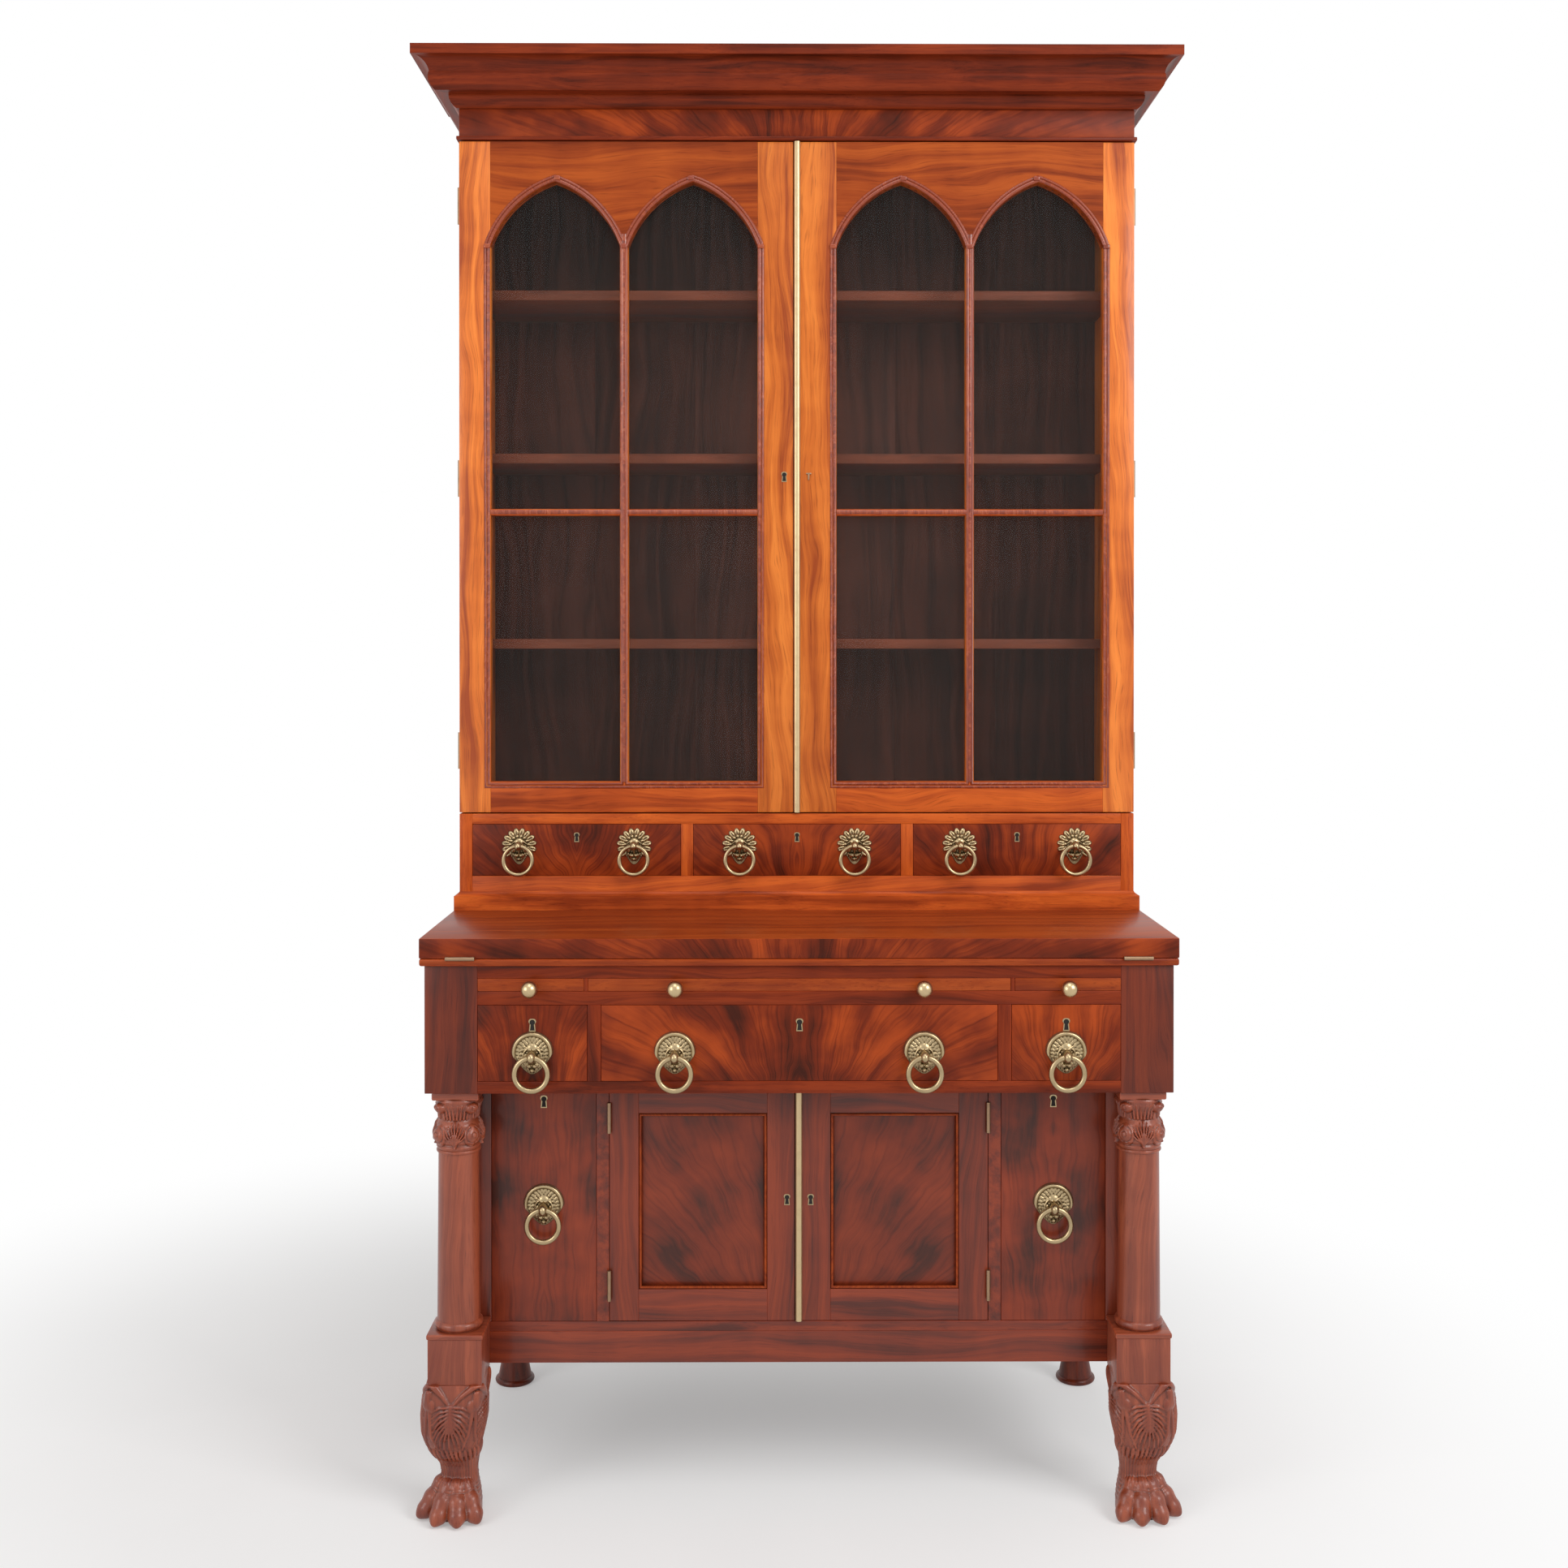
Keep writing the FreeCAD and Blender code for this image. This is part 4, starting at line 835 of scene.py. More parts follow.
def bead_run_nodes():
    """Round bead along paths, with its grain along it."""
    nodes = Growth("bead_run", Radius="Float", Seed="Int", Finish="Material")
    curve = nodes.add("GeometryNodeMeshToCurve", inputs={0: nodes.given["Geometry"]}).outputs[0]
    run = nodes.add("GeometryNodeSplineParameter").outputs["Length"]
    start = nodes.add("ShaderNodeMath", {"operation": "ADD"}, {0: run, 1: nodes.draw(0.0, 40.0)}).outputs[0]
    marked = nodes.store(curve, "run", start, "FLOAT")
    circle = nodes.add("GeometryNodeCurvePrimitiveCircle",
                       inputs={"Resolution": 12, "Radius": nodes.given["Radius"]}).outputs[0]
    rim = nodes.store(circle, "rim", nodes.add("GeometryNodeInputPosition").outputs[0])
    tube = nodes.add("GeometryNodeCurveToMesh", inputs={0: marked, 1: rim, "Fill Caps": True}).outputs[0]
    across = nodes.add("ShaderNodeSeparateXYZ", inputs={0: nodes.stored("rim")}).outputs
    along = nodes.stored("run", "FLOAT")
    grain = nodes.add("ShaderNodeCombineXYZ", inputs={0: along, 1: across[0], 2: across[1]}).outputs[0]
    nodes.end(nodes.store(tube, "grain", grain))
    return nodes


def petal_ring_nodes():
    """Petals set out along an arc, each pointing outwards and a little different in size."""
    nodes = Growth("petal_ring", Radius="Float", Start="Float", Sweep="Float", Count="Int", Seed="Int",
                   Finish="Material")
    given = nodes.given
    arc = nodes.add("GeometryNodeCurveArc",
                    inputs={"Resolution": given["Count"], "Radius": given["Radius"],
                            "Start Angle": given["Start"], "Sweep Angle": given["Sweep"]}).outputs[0]
    outward = nodes.add("GeometryNodeInputPosition").outputs[0]
    turn = nodes.add("FunctionNodeAlignRotationToVector", {"axis": "Y", "pivot_axis": "Z"},
                     {"Vector": outward}).outputs[0]
    petals = nodes.add("GeometryNodeInstanceOnPoints",
                       inputs={"Points": arc, "Instance": given["Geometry"], "Rotation": turn,
                               "Scale": nodes.draw(0.92, 1.04)})
    nodes.end(petals.outputs[0])
    return nodes


# Carving tools: heights of simple cuts over a flat layout, in millimetres

def dome(place, centre, radii, height, turn=0.0):
    """Rounded hump on an elliptical foot."""
    u = place[0] - centre[0]
    v = place[1] - centre[1]
    cosine, sine = math.cos(turn), math.sin(turn)
    spread = ((cosine * u + sine * v) / radii[0]) ** 2 + ((cosine * v - sine * u) / radii[1]) ** 2
    return height * math.sqrt(1.0 - spread) if spread < 1.0 else 0.0


def ridge(place, line, width, height):
    """Rounded bar along a line of points, fading to its far end."""
    best = 0.0
    last = len(line) - 1
    for number in range(last):
        (ax, ay), (bx, by) = line[number], line[number + 1]
        dx, dy = bx - ax, by - ay
        share_along = limited(((place[0] - ax) * dx + (place[1] - ay) * dy) / (dx * dx + dy * dy))
        distance = math.hypot(place[0] - ax - share_along * dx, place[1] - ay - share_along * dy)
        taper = 1.0 - 0.6 * (number + share_along) / last
        if distance < width * taper:
            best = max(best, height * taper * math.sqrt(1.0 - (distance / (width * taper)) ** 2))
    return best


def scroll(centre, radius, turns, start, steps=18):
    """Points of a spiral that winds inwards."""
    points = []
    for number in range(steps + 1):
        t = number / steps
        angle = start + turns * 2.0 * math.pi * t
        reach = radius * (1.0 - 0.78 * t)
        points.append((centre[0] + reach * math.cos(angle), centre[1] + reach * math.sin(angle)))
    return points


def surface_marks(points, faces):
    """Hollow and worn marks from how the surface bends, each between none and all."""
    mesh = bpy.data.meshes.new("bending")
    mesh.from_pydata([tuple(point) for point in points], [], faces)
    normals = [Vector(entry.vector) for entry in mesh.vertex_normals]
    total = [0.0] * len(points)
    count = [0] * len(points)
    near = [[] for _ in points]
    for edge in mesh.edges:
        a, b = edge.vertices
        step = Vector(points[b]) - Vector(points[a])
        size = step.length or 1.0
        total[a] += normals[a].dot(step) / size
        total[b] -= normals[b].dot(step) / size
        count[a] += 1
        count[b] += 1
        near[a].append(b)
        near[b].append(a)
    bend = [value / max(1, number) for value, number in zip(total, count)]
    soft = [(bend[i] + sum(bend[j] for j in near[i])) / (1 + len(near[i])) for i in range(len(points))]
    bpy.data.meshes.remove(mesh)
    return {"hollow": [limited(4.0 * value) for value in soft],
            "worn": [limited(-3.0 * value - 0.15) for value in soft]}


def mesh_parts(mesh):
    """Points and faces of a mesh."""
    points = [vertex.co.copy() for vertex in mesh.vertices]
    return points, [list(polygon.vertices) for polygon in mesh.polygons]


def disc_grid(rings, segments):
    """Faces of a round grid whose first point is the middle."""
    faces = [[0, 1 + j, 1 + (j + 1) % segments] for j in range(segments)]
    for i in range(rings - 1):
        for j in range(segments):
            a = 1 + i * segments + j
            b = 1 + i * segments + (j + 1) % segments
            faces.append([a, a + segments, b + segments, b])
    return faces


def tube_grid(rows, segments):
    """Faces of a grid that closes round a tube."""
    faces = []
    for i in range(rows - 1):
        for j in range(segments):
            a = i * segments + j
            b = i * segments + (j + 1) % segments
            faces.append([a, b, b + segments, a + segments])
    return faces


# Reeds and beads

class BOOKCASE_OT_beads(bpy.types.Operator):
    """Reeds round the lights and beads round the cupboard panels"""
    bl_idname = "bookcase.beads"
    bl_label = "Reeds and Beads"

    def execute(self, context):
        nodes = bead_run_nodes()
        for number, word in enumerate(SIDES):
            self.reeds(nodes, word, number)
            self.panel(nodes, word, number)
        return {"FINISHED"}

    def path(self, points, y, closed):
        """Edges along points of the door's face."""
        mesh = bpy.data.meshes.new("path")
        edges = [(i, i + 1) for i in range(len(points) - 1)]
        if closed:
            edges.append((len(points) - 1, 0))
        mesh.from_pydata([(x, y, z) for x, z in points], edges, [])
        return mesh

    def light(self, left, right, sill, springing, offset):
        """Outline of a pointed light, offset outwards: up the right side, over and down the left."""
        shift, drop = sizes().arch_shift, sizes().arch_drop
        middle = (left + right) / 2
        half = (right - left) / 2
        radius = math.hypot(half + shift, drop) + offset
        low = math.acos((half + shift + offset) / radius)
        top = math.acos(shift / radius)
        steps = 14
        angles = [low + (top - low) * k / steps for k in range(steps + 1)]
        centre = (middle - shift, springing - drop)
        climb = [(centre[0] + radius * math.cos(a), centre[1] + radius * math.sin(a)) for a in angles]
        fall = [(2 * middle - x, z) for x, z in reversed(climb[:-1])]
        return [(left - offset, sill - offset), (right + offset, sill - offset), *climb, *fall]

    def reeds(self, nodes, word, number):
        """Reeds of one glazed door, with small blocks where they meet."""
        size = sizes()
        node = f"{word}_upper_door"
        meeting, hanging, sill_rail, muntin, bar, *_ = map(solid_box, node_solids(node))
        left_edge, right_edge = sorted((meeting[0].x, meeting[1].x, hanging[0].x, hanging[1].x))[1:3]
        face, sill, springing = meeting[0].y, sill_rail[1].z, muntin[1].z
        middle = (muntin[0].x + muntin[1].x) / 2
        bar_z = (bar[0].z + bar[1].z) / 2
        muntin_radius = 0.46 * (muntin[1].x - muntin[0].x)
        reach = size.outer_reed_reach
        runs = []
        for left, right in ((left_edge, muntin[0].x), (muntin[1].x, right_edge)):
            loop = self.light(left, right, sill, springing, size.reed_radius)
            runs.append((loop, True, size.reed_radius, size.reed_sink))
            outer = self.outer_run(self.light(left, right, sill, springing, reach), middle, left > middle)
            runs.append((outer, False, size.outer_reed_radius, size.reed_sink))
        upright = [(middle, sill), (middle, springing + size.muntin_overrun)]
        runs.append((upright, False, muntin_radius, size.muntin_reed_sink))
        level = [(left_edge, bar_z), (right_edge, bar_z)]
        runs.append((level, False, size.bar_reed_radius, size.bar_reed_sink))
        piece = Piece("reed")
        head = max(z for points, *_ in runs for _, z in points)
        places = [(x, springing) for x in (left_edge - 0.6 * reach, middle, right_edge + 0.6 * reach)]
        places += [((edge + middle) / 2, head - 0.4 * reach) for edge in (left_edge, right_edge)]
        half_block = Vector((5.2, 4.0, 3.6)) * MM
        for place, (x, z) in enumerate(places):
            centre = Vector((x, face, z))
            add_board(piece, centre - half_block, centre + half_block, f"{word}_block{place}",
                      rounding=1.2 * MM)
        for place, (points, closed, radius, sink) in enumerate(runs):
            path = self.path(points, face + sink, closed)
            seed = 31 * number + place
            add_grown(piece, nodes.grow(path, Radius=radius, Seed=seed, Finish=FINISH["reed"]))
        piece.finish(f"{word}_reeds", node, "golden_mahogany", node, crease=60.0)

    def outer_run(self, loop, middle, mirrored):
        """Open run of one light's outer reed: from the sill, up the stile and over to the muntin."""
        if mirrored:
            loop = [(2 * middle - x, z) for x, z in loop]
        corner = min(x for x, _ in loop)
        sill = loop[0][1]
        kept = [point for point in loop[2:] if point[0] <= middle]
        run = [(middle, sill), (corner, sill), *sorted_run(kept, corner)]
        return [(2 * middle - x, z) for x, z in run] if mirrored else run

    def panel(self, nodes, word, number):
        """Bead round one cupboard panel."""
        node = f"{word}_lower_door"
        lo, hi = solid_box(node_solids(node)[-1])
        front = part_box(node)[0][1]
        radius = sizes().panel_bead
        left, right, low, high = lo.x + radius, hi.x - radius, lo.z + radius, hi.z - radius
        corners = [(left, low), (right, low), (right, high), (left, high)]
        path = self.path(corners, front + 0.5 * radius, True)
        piece = Piece("desk")
        add_grown(piece, nodes.grow(path, Radius=radius, Seed=90 + number, Finish=FINISH["desk"]))
        piece.finish(f"{word}_panel_bead", node, "red_mahogany", node, crease=60.0)


def sorted_run(points, corner):
    """Points of an outer reed from the springing at the stile, over the head, to the muntin."""
    near = [point for point in points if abs(point[0] - corner) < 1e-5]
    rest = [point for point in points if abs(point[0] - corner) >= 1e-5]
    return near + sorted(rest, key=lambda point: point[0])


def add_grown(piece, mesh):
    """Append a mesh that a node group made, with the marks that it stores."""
    points, faces = mesh_parts(mesh)
    marks = {}
    for name in ("grain", "hollow"):
        layer = mesh.attributes.get(name)
        if layer:
            marks[name] = [tuple(e.vector) if name == "grain" else e.value for e in layer.data]
    piece.add(points, faces, **marks)


# Ring-pull plates and keyholes

def locks(reach, angle, rows, size, height):
    """Rows of small rounded locks round a face: each row has its reach and its count."""
    relief = 0.0
    for number, (middle, count) in enumerate(rows):
        step = 2.0 * math.pi / count
        near = (angle + (0.5 * step if number % 2 else 0.0)) % step - 0.5 * step
        relief = max(relief, dome((near * middle, reach), (0.0, middle), (size, 1.25 * size), height))
    return relief


LION_DOMES = (
    # centre, radii, height, and turn where it has one
    ((0.0, 5.0), (8.5, 7.5), 5.6),
    ((6.0, 0.8), (2.2, 1.6), 5.6),
    ((0.0, -5.0), (2.9, 11.0), 7.0),
    ((9.0, -6.0), (4.6, 6.5), 4.8),
    ((4.0, -16.0), (4.8, 4.0), 6.8, 0.45),
    ((0.0, -15.0), (2.6, 2.2), 7.6),
    ((0.0, -22.0), (3.6, 3.4), 5.8),
)
LION_BROW = ((2.2, 4.0), (7.0, 6.8), (11.5, 3.0))
WHISKERS = [((9.5 - 1.6 * k, -13.0 - 2.2 * k), (12.0 - 3.0 * k, -19.0 - 2.6 * k)) for k in range(4)]


def lion_face(place, scale):
    """Height of a lion's face with its brow at the middle of the plate and its chin far below."""
    here = (place[0] / scale, place[1] / scale)
    relief = max(dome(here, *row) for row in LION_DOMES)
    relief = max(relief, ridge(here, LION_BROW, 2.5, 6.4))
    relief = max(relief, *(ridge(here, whisker, 1.5, 4.4) for whisker in WHISKERS))
    return relief * scale


def small_mask(u, v):
    """Height of the small lion mask over its plate."""
    relief = 1.4
    if v > -4.0:
        relief = max(relief, locks(math.hypot(u, v), math.atan2(u, v), ((15.0, 15),), 2.6, 3.4))
    return max(relief, lion_face((abs(u), v), 1.0))


def large_mask(u, v):
    """Height of the large mask: a plain raised rim, a mane of small locks and a face."""
    reach = math.hypot(u, v)
    relief = 1.6
    rim = (reach - 27.0) / 3.8
    fade = limited((v + 14.0) / 8.0)
    if abs(rim) < 1.0:
        relief = max(relief, 5.8 * fade * math.sqrt(1.0 - rim * rim))
    rows = ((21.6, 25), (18.4, 22), (15.2, 17))
    if reach < 24.0:
        relief = max(relief, 2.7 + locks(reach, math.atan2(u, v), rows, 2.3, 1.5))
    hood = (math.hypot(u, v + 5.0) - 13.0) / 2.2
    if abs(hood) < 1.0 and v > -5.0:
        relief = max(relief, 5.6 * math.sqrt(1.0 - hood * hood))
    return max(relief, lion_face((abs(u), v), 1.18))


def petal_mesh():
    """One leafy petal, with a crease down its middle."""
    rings, segments = 6, 22
    points = [Vector((0.0, 0.0, 2.3))]
    hollow = [0.5]
    for i in range(1, rings + 1):
        reach = i / rings
        for j in range(segments):
            angle = 2.0 * math.pi * j / segments
            u = 4.9 * reach * math.cos(angle)
            v = 7.2 * reach * math.sin(angle)
            crease = math.exp(-u ** 2)
            height = 4.0 * math.sqrt(max(0.0, 1.0 - reach * reach)) * (1.0 - 0.45 * crease)
            points.append(Vector((u, v, height)))
            hollow.append(max(0.9 * crease * (1.0 - reach), 1.0 if i == rings else 0.0))
    mesh = bpy.data.meshes.new("petal")
    mesh.from_pydata(points, [], disc_grid(rings, segments))
    layer = mesh.attributes.new("hollow", "FLOAT", "POINT")
    layer.data.foreach_set("value", hollow)
    return mesh


def mask_layout(height, radius, chin, narrowing, rings=36, segments=110):
    """Points, faces and marks of a mask, flat in millimetres, on a round plate that narrows to a chin."""
    points = [Vector((0.0, 0.0, height(0.0, 0.0)))]
    for i in range(1, rings + 1):
        for j in range(segments):
            angle = 2.0 * math.pi * j / segments
            below = max(0.0, -math.sin(angle))
            u = radius * i / rings * math.cos(angle) * (1.0 - narrowing * below)
            v = radius * i / rings * math.sin(angle) * (1.0 + (chin - 1.0) * below ** 3)
            points.append(Vector((u, v, height(u, v) if i < rings else 0.0)))
    faces = disc_grid(rings, segments)
    marks = surface_marks(points, faces)
    low = [max(0.0, 1.0 - point.z / 3.2) for point in points]
    marks["hollow"] = [min(1.0, a + 0.7 * b) for a, b in zip(marks["hollow"], low)]
    return points, faces, marks


def boss_layout(radii, reach):
    """Neck and ball that carry the ring, in millimetres."""
    rows, segments = 16, 28
    points = []
    for i in range(rows):
        t = i / (rows - 1)
        angle = math.pi * (0.12 + 0.88 * t)
        swell = max(math.sin(angle), 0.55 if t < 0.4 else 0.02)
        for j in range(segments):
            turn = 2.0 * math.pi * j / segments
            points.append(Vector((radii[0] * swell * math.cos(turn), radii[1] * swell * math.sin(turn),
                                  reach * (1.0 - math.cos(angle)) / 2)))
    faces = tube_grid(rows, segments)
    return points, faces, {"hollow": [0.8 if point.z < 0.25 * reach else 0.0 for point in points]}


def keyhole_layout(tall):
    """Brass-lined keyhole in millimetres: border faces first, then the dark middle, a flat face that
    carries the painted shade of the hole.
    """
    head = 0.24 * tall
    inner = []
    steps = 14
    for k in range(steps + 1):
        angle = math.radians(-55.0 + 290.0 * k / steps)
        inner.append((head * math.cos(angle), 0.22 * tall + head * math.sin(angle)))
    inner += [(-0.20 * tall, -0.48 * tall), (0.20 * tall, -0.48 * tall)]
    border = 0.085 * tall
    outer = []
    for x, y in inner:
        wide = x + math.copysign(border, x) if abs(x) > 1e-6 else x
        outer.append((wide, y + (border if y > 0 else -border)))
    count = len(inner)
    points = [Vector((x, y, 0.5)) for x, y in inner] + [Vector((x, y, 0.5)) for x, y in outer]
    points += [Vector((x, y, -0.2)) for x, y in outer] + [Vector((x, y, 0.12)) for x, y in inner]
    faces = []
    for k in range(count):
        n = (k + 1) % count
        faces.append([k, count + k, count + n, n])
        faces.append([count + k, 2 * count + k, 2 * count + n, count + n])
        faces.append([k, n, 3 * count + n, 3 * count + k])
    # The dark middle is a flat face that paints the shade inside the hole.
    dark = [list(range(3 * count, 4 * count))]
    return points, faces, dark


def add_layout(piece, layout, centre, face, finish=0):
    """Stand a flat layout on a front face at a centre, with relief towards the viewer."""
    points, faces, marks = layout
    placed = [(centre[0] + point.x * MM, face - point.z * MM, centre[1] + point.y * MM) for point in points]
    piece.add(placed, faces, finish, **marks)


def add_keyhole(piece, centre, face, tall):
    """Keyhole on a piece whose finishes are brass and dark."""
    points, *parts = keyhole_layout(tall)
    for finish, faces in enumerate(parts):
        add_layout(piece, (points, faces, {}), centre, face, finish)


DRAWER_KEYHOLES = {
    # kind of drawer: drop below its top and height, in millimetres
    "small": (21.0, 14.0),
    "frieze": (29.0, 17.0),
    "bottle": (30.0, 17.0),
}
DOOR_KEYHOLES = {
    # door: place across and level, in millimetres
    "left_lower_door": (-18.0, 452.0),
    "right_lower_door": (18.0, 452.0),
    "left_upper_door": (-21.0, 1570.0),
}
CATCH_X = 19.0
CATCH_BARS = (
    # level, half width and half height, in millimetres
    (1575.0, 4.2, 1.2),
    (1570.0, 1.2, 5.5),
)


class BOOKCASE_OT_plates(bpy.types.Operator):
    """Lion-mask plates, their bosses and the keyholes"""
    bl_idname = "bookcase.plates"
    bl_label = "Pull Plates and Keyholes"

    def execute(self, context):
        small = [mask_layout(small_mask, radius=22.5, chin=1.4, narrowing=0.30), self.petals(),
                 boss_layout((6.6, 8.0), 23.0)]
        large = [mask_layout(large_mask, radius=31.0, chin=1.04, narrowing=0.42),
                 boss_layout((7.4, 9.0), 24.0)]
        for drawer in DRAWERS:
            piece = Piece("brass", "dark")
            *flat, boss = small if drawer in SMALL_DRAWERS else large
            rise = 0.0 if drawer in SMALL_DRAWERS else sizes().large_plate_rise
            lo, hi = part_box(f"{drawer}_plates")
            level = (lo[2] + hi[2]) / 2
            for x in self.plate_middles(lo, hi):
                for layout in flat:
                    add_layout(piece, layout, (x, level), hi[1])
                add_layout(piece, boss, (x, level - rise), hi[1])
            self.drawer_keyhole(piece, drawer)
            piece.finish(f"{drawer}_masks", drawer, "aged_brass", f"{drawer}_plates", crease=50.0)
        for node, (x, z) in DOOR_KEYHOLES.items():
            piece = Piece("brass", "dark")
            add_keyhole(piece, (x * MM, z * MM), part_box(node)[0][1], 15.0)
            piece.finish(f"{node}_keyhole", node, "aged_brass", node)
        self.catch()
        return {"FINISHED"}

    def petals(self):
        """Ring of petals round a small mask."""
        ring = petal_ring_nodes().grow(petal_mesh(), Radius=21.6, Start=math.radians(-38.0),
                                       Sweep=math.radians(256.0), Count=12, Seed=5, Finish=FINISH["brass"])
        return *mesh_parts(ring), {"hollow": [entry.value for entry in ring.attributes["hollow"].data]}

    def plate_middles(self, lo, hi):
        """Where the round plates in a box have their middles: one, or one at each end."""
        half = (hi[2] - lo[2]) / 2
        return [lo[0] + half] if hi[0] - lo[0] < 3.0 * half else [lo[0] + half, hi[0] - half]

    def drawer_keyhole(self, piece, drawer):
        """Keyhole at the head of a drawer's front."""
        lo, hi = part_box(drawer)
        drop, tall = DRAWER_KEYHOLES[drawer.split("_")[1]]
        add_keyhole(piece, ((lo[0] + hi[0]) / 2, hi[2] - drop * MM), lo[1], tall)

    def catch(self):
        """Small turned-up catch on the right-hand glazed door."""
        piece = Piece("hinge")
        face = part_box("right_upper_door")[0][1]
        for number, (z, half_x, half_z) in enumerate(CATCH_BARS):
            middle = Vector((CATCH_X * MM, face, z * MM))
            half = Vector((half_x, 2.6, half_z)) * MM
            add_board(piece, middle - half, middle + half, f"catch{number}", rounding=0.6 * MM)
        piece.finish("upper_catch", "right_upper_door", "aged_brass", "right_upper_door")


# Columns and rear feet

CAPITAL_BOTTOM = 545.0
CAPITAL_TOP = 620.5
CAPITAL_ROUND = 38.0
CAPITAL_BELL = (
    # level and radius: neck, swelling, waist and flare
    (CAPITAL_BOTTOM, 31.5), (549.0, 33.0), (553.0, 31.0), (558.0, 33.6), (568.0, 35.6), (580.0, 33.4),
    (591.0, 28.4), (602.0, 30.0), (612.0, 33.4), (617.0, 34.4), (CAPITAL_TOP, 33.0),
)
CAPITAL_EYE = (30.0, 567.0)
CAPITAL_CURL = (30.0, 607.0)


def capital_leaves():
    """Leaf ribs of half a face of the capital, each with its width and height."""
    leaves = [([(0.8 * k, 551.0 + 2.0 * k), (2.6 * k, 570.0 - 2.0 * k), (1.0 + 5.2 * k, 590.0 - 4.5 * k)],
               2.4, 5.0) for k in range(5)]
    flutes = [([(3.0 + 6.5 * k, 592.0), (4.0 + 6.8 * k, 603.0), (5.0 + 7.2 * k, 612.0)], 2.6, 2.6)
              for k in range(4)]
    return leaves + flutes


CAPITAL_LEAVES = capital_leaves()
EYE_SCROLL = scroll(CAPITAL_EYE, 13.0, 1.4, 1.9)
CURL_SCROLL = scroll(CAPITAL_CURL, 6.5, 1.2, -1.2)


def capital_relief(across, z):
    """Leaves and scrolls on the capital: across is the distance round from the middle of a face."""
    place = (abs(across), z)
    relief = max(ridge(place, *leaf) for leaf in CAPITAL_LEAVES)
    roll = dome(place, CAPITAL_EYE, (15.5, 16.5), 6.2) - ridge(place, EYE_SCROLL, 1.5, 1.8)
    curl = dome(place, CAPITAL_CURL, (12.0, 8.5), 9.5) - ridge(place, CURL_SCROLL, 1.3, 1.5)
    return max(relief, roll, curl, dome(place, CAPITAL_EYE, (4.4, 4.4), 6.8))


def capital_radius(z):
    """Radius of the capital's bell at a level."""
    for (z0, r0), (z1, r1) in zip(CAPITAL_BELL, CAPITAL_BELL[1:]):
        if z <= z1:
            t = (z - z0) / (z1 - z0)
            return r0 + (r1 - r0) * t * t * (3.0 - 2.0 * t)
    return CAPITAL_BELL[-1][1]


class BOOKCASE_OT_columns(bpy.types.Operator):
    """Columns with carved capitals, and the turned rear feet"""
    bl_idname = "bookcase.columns"
    bl_label = "Columns and Rear Feet"

    def execute(self, context):
        piece = Piece("carved")
        for number, triangles in enumerate(node_solids("columns")):
            lo, hi = solid_box(triangles)
            if number % 2:
                self.capital(piece, lo, hi, number)
            else:
                add_solid(piece, triangles, f"shaft{number}", along=2)
        piece.finish("carved_columns", "carcase", "red_mahogany", "columns")
        piece = Piece("post")
        for number, triangles in enumerate(node_solids("rear_feet")):
            add_solid(piece, triangles, f"rear_foot{number}", along=2)
        piece.finish("turned_rear_feet", "carcase", "red_mahogany", "rear_feet")
        return {"FINISHED"}

    def capital(self, piece, lo, hi, number):
        """Carved bell under a plain abacus."""
        middle = (lo + hi) / 2
        segments, rows = 240, 84
        wall = hi.y - 0.4 * MM
        points = []
        for i in range(rows):
            z = CAPITAL_BOTTOM + (CAPITAL_TOP - CAPITAL_BOTTOM) * i / (rows - 1)
            base = capital_radius(z)
            for j in range(segments):
                angle = 2.0 * math.pi * j / segments
                quarter = (angle + math.pi / 4) % (math.pi / 2) - math.pi / 4
                carved = (base + capital_relief(quarter * CAPITAL_ROUND, z)) * MM
                y = middle.y - carved * math.cos(angle)
                points.append(Vector((middle.x + carved * math.sin(angle), min(y, wall), z * MM)))
        faces = tube_grid(rows, segments)
        marks = surface_marks(points, faces)
        marks.update(grain_marks(points, lo, hi, f"capital{number}", 2))
        piece.add(points, faces, 0, **marks)
        inset = Vector((5.0 * MM, 5.0 * MM, 0.0))
        abacus_lo = Vector((lo.x, lo.y, CAPITAL_TOP * MM - 0.5 * MM)) + inset
        abacus_hi = Vector((hi.x - inset.x, hi.y, hi.z))
        add_board(piece, abacus_lo, abacus_hi, f"abacus{number}", rounding=2.4 * MM)


# Front feet, laid out for the right-hand one in millimetres

LEG_TOP = 201.0
LEG_FACE = 64.0
LEG_ROUND = 40.7
LEG_ROWS = (
    # level, inner edge, outer edge, front, back
    (LEG_TOP, 469.5, 548.5, -255.0, -183.0),
    (188.0, 468.0, 556.0, -258.5, -181.0),
    (170.0, 468.0, 560.0, -261.5, -180.0),
    (148.0, 468.0, 562.0, -263.0, -181.0),
    (124.0, 472.0, 561.0, -262.0, -184.0),
    (108.0, 475.0, 556.0, -258.0, -189.0),
    (90.0, 478.0, 544.0, -251.0, -195.0),
    (76.0, 480.0, 535.5, -246.0, -199.0),
    (62.0, 481.0, 533.5, -245.0, -200.0),
    (48.0, 479.0, 536.0, -248.0, -198.0),
    (34.0, 476.0, 541.0, -255.0, -194.0),
    (16.0, 474.0, 546.0, -259.0, -192.0),
    (0.0, 474.0, 546.0, -259.0, -192.0),
)
PAW_MIDDLE = Vector((510.5, -224.0, 0.0))
TOE_ANGLES = (-40.0, -9.0, 25.0, 62.0)
TOE_CHAIN = (
    # distance ahead, height, radius
    (12.0, 46.0, 14.0), (23.0, 44.0, 15.4), (29.5, 35.5, 13.6), (36.5, 29.0, 15.4), (43.0, 21.0, 13.2),
    (48.0, 14.5, 13.8), (53.0, 11.5, 10.2), (57.0, 8.5, 6.6),
)


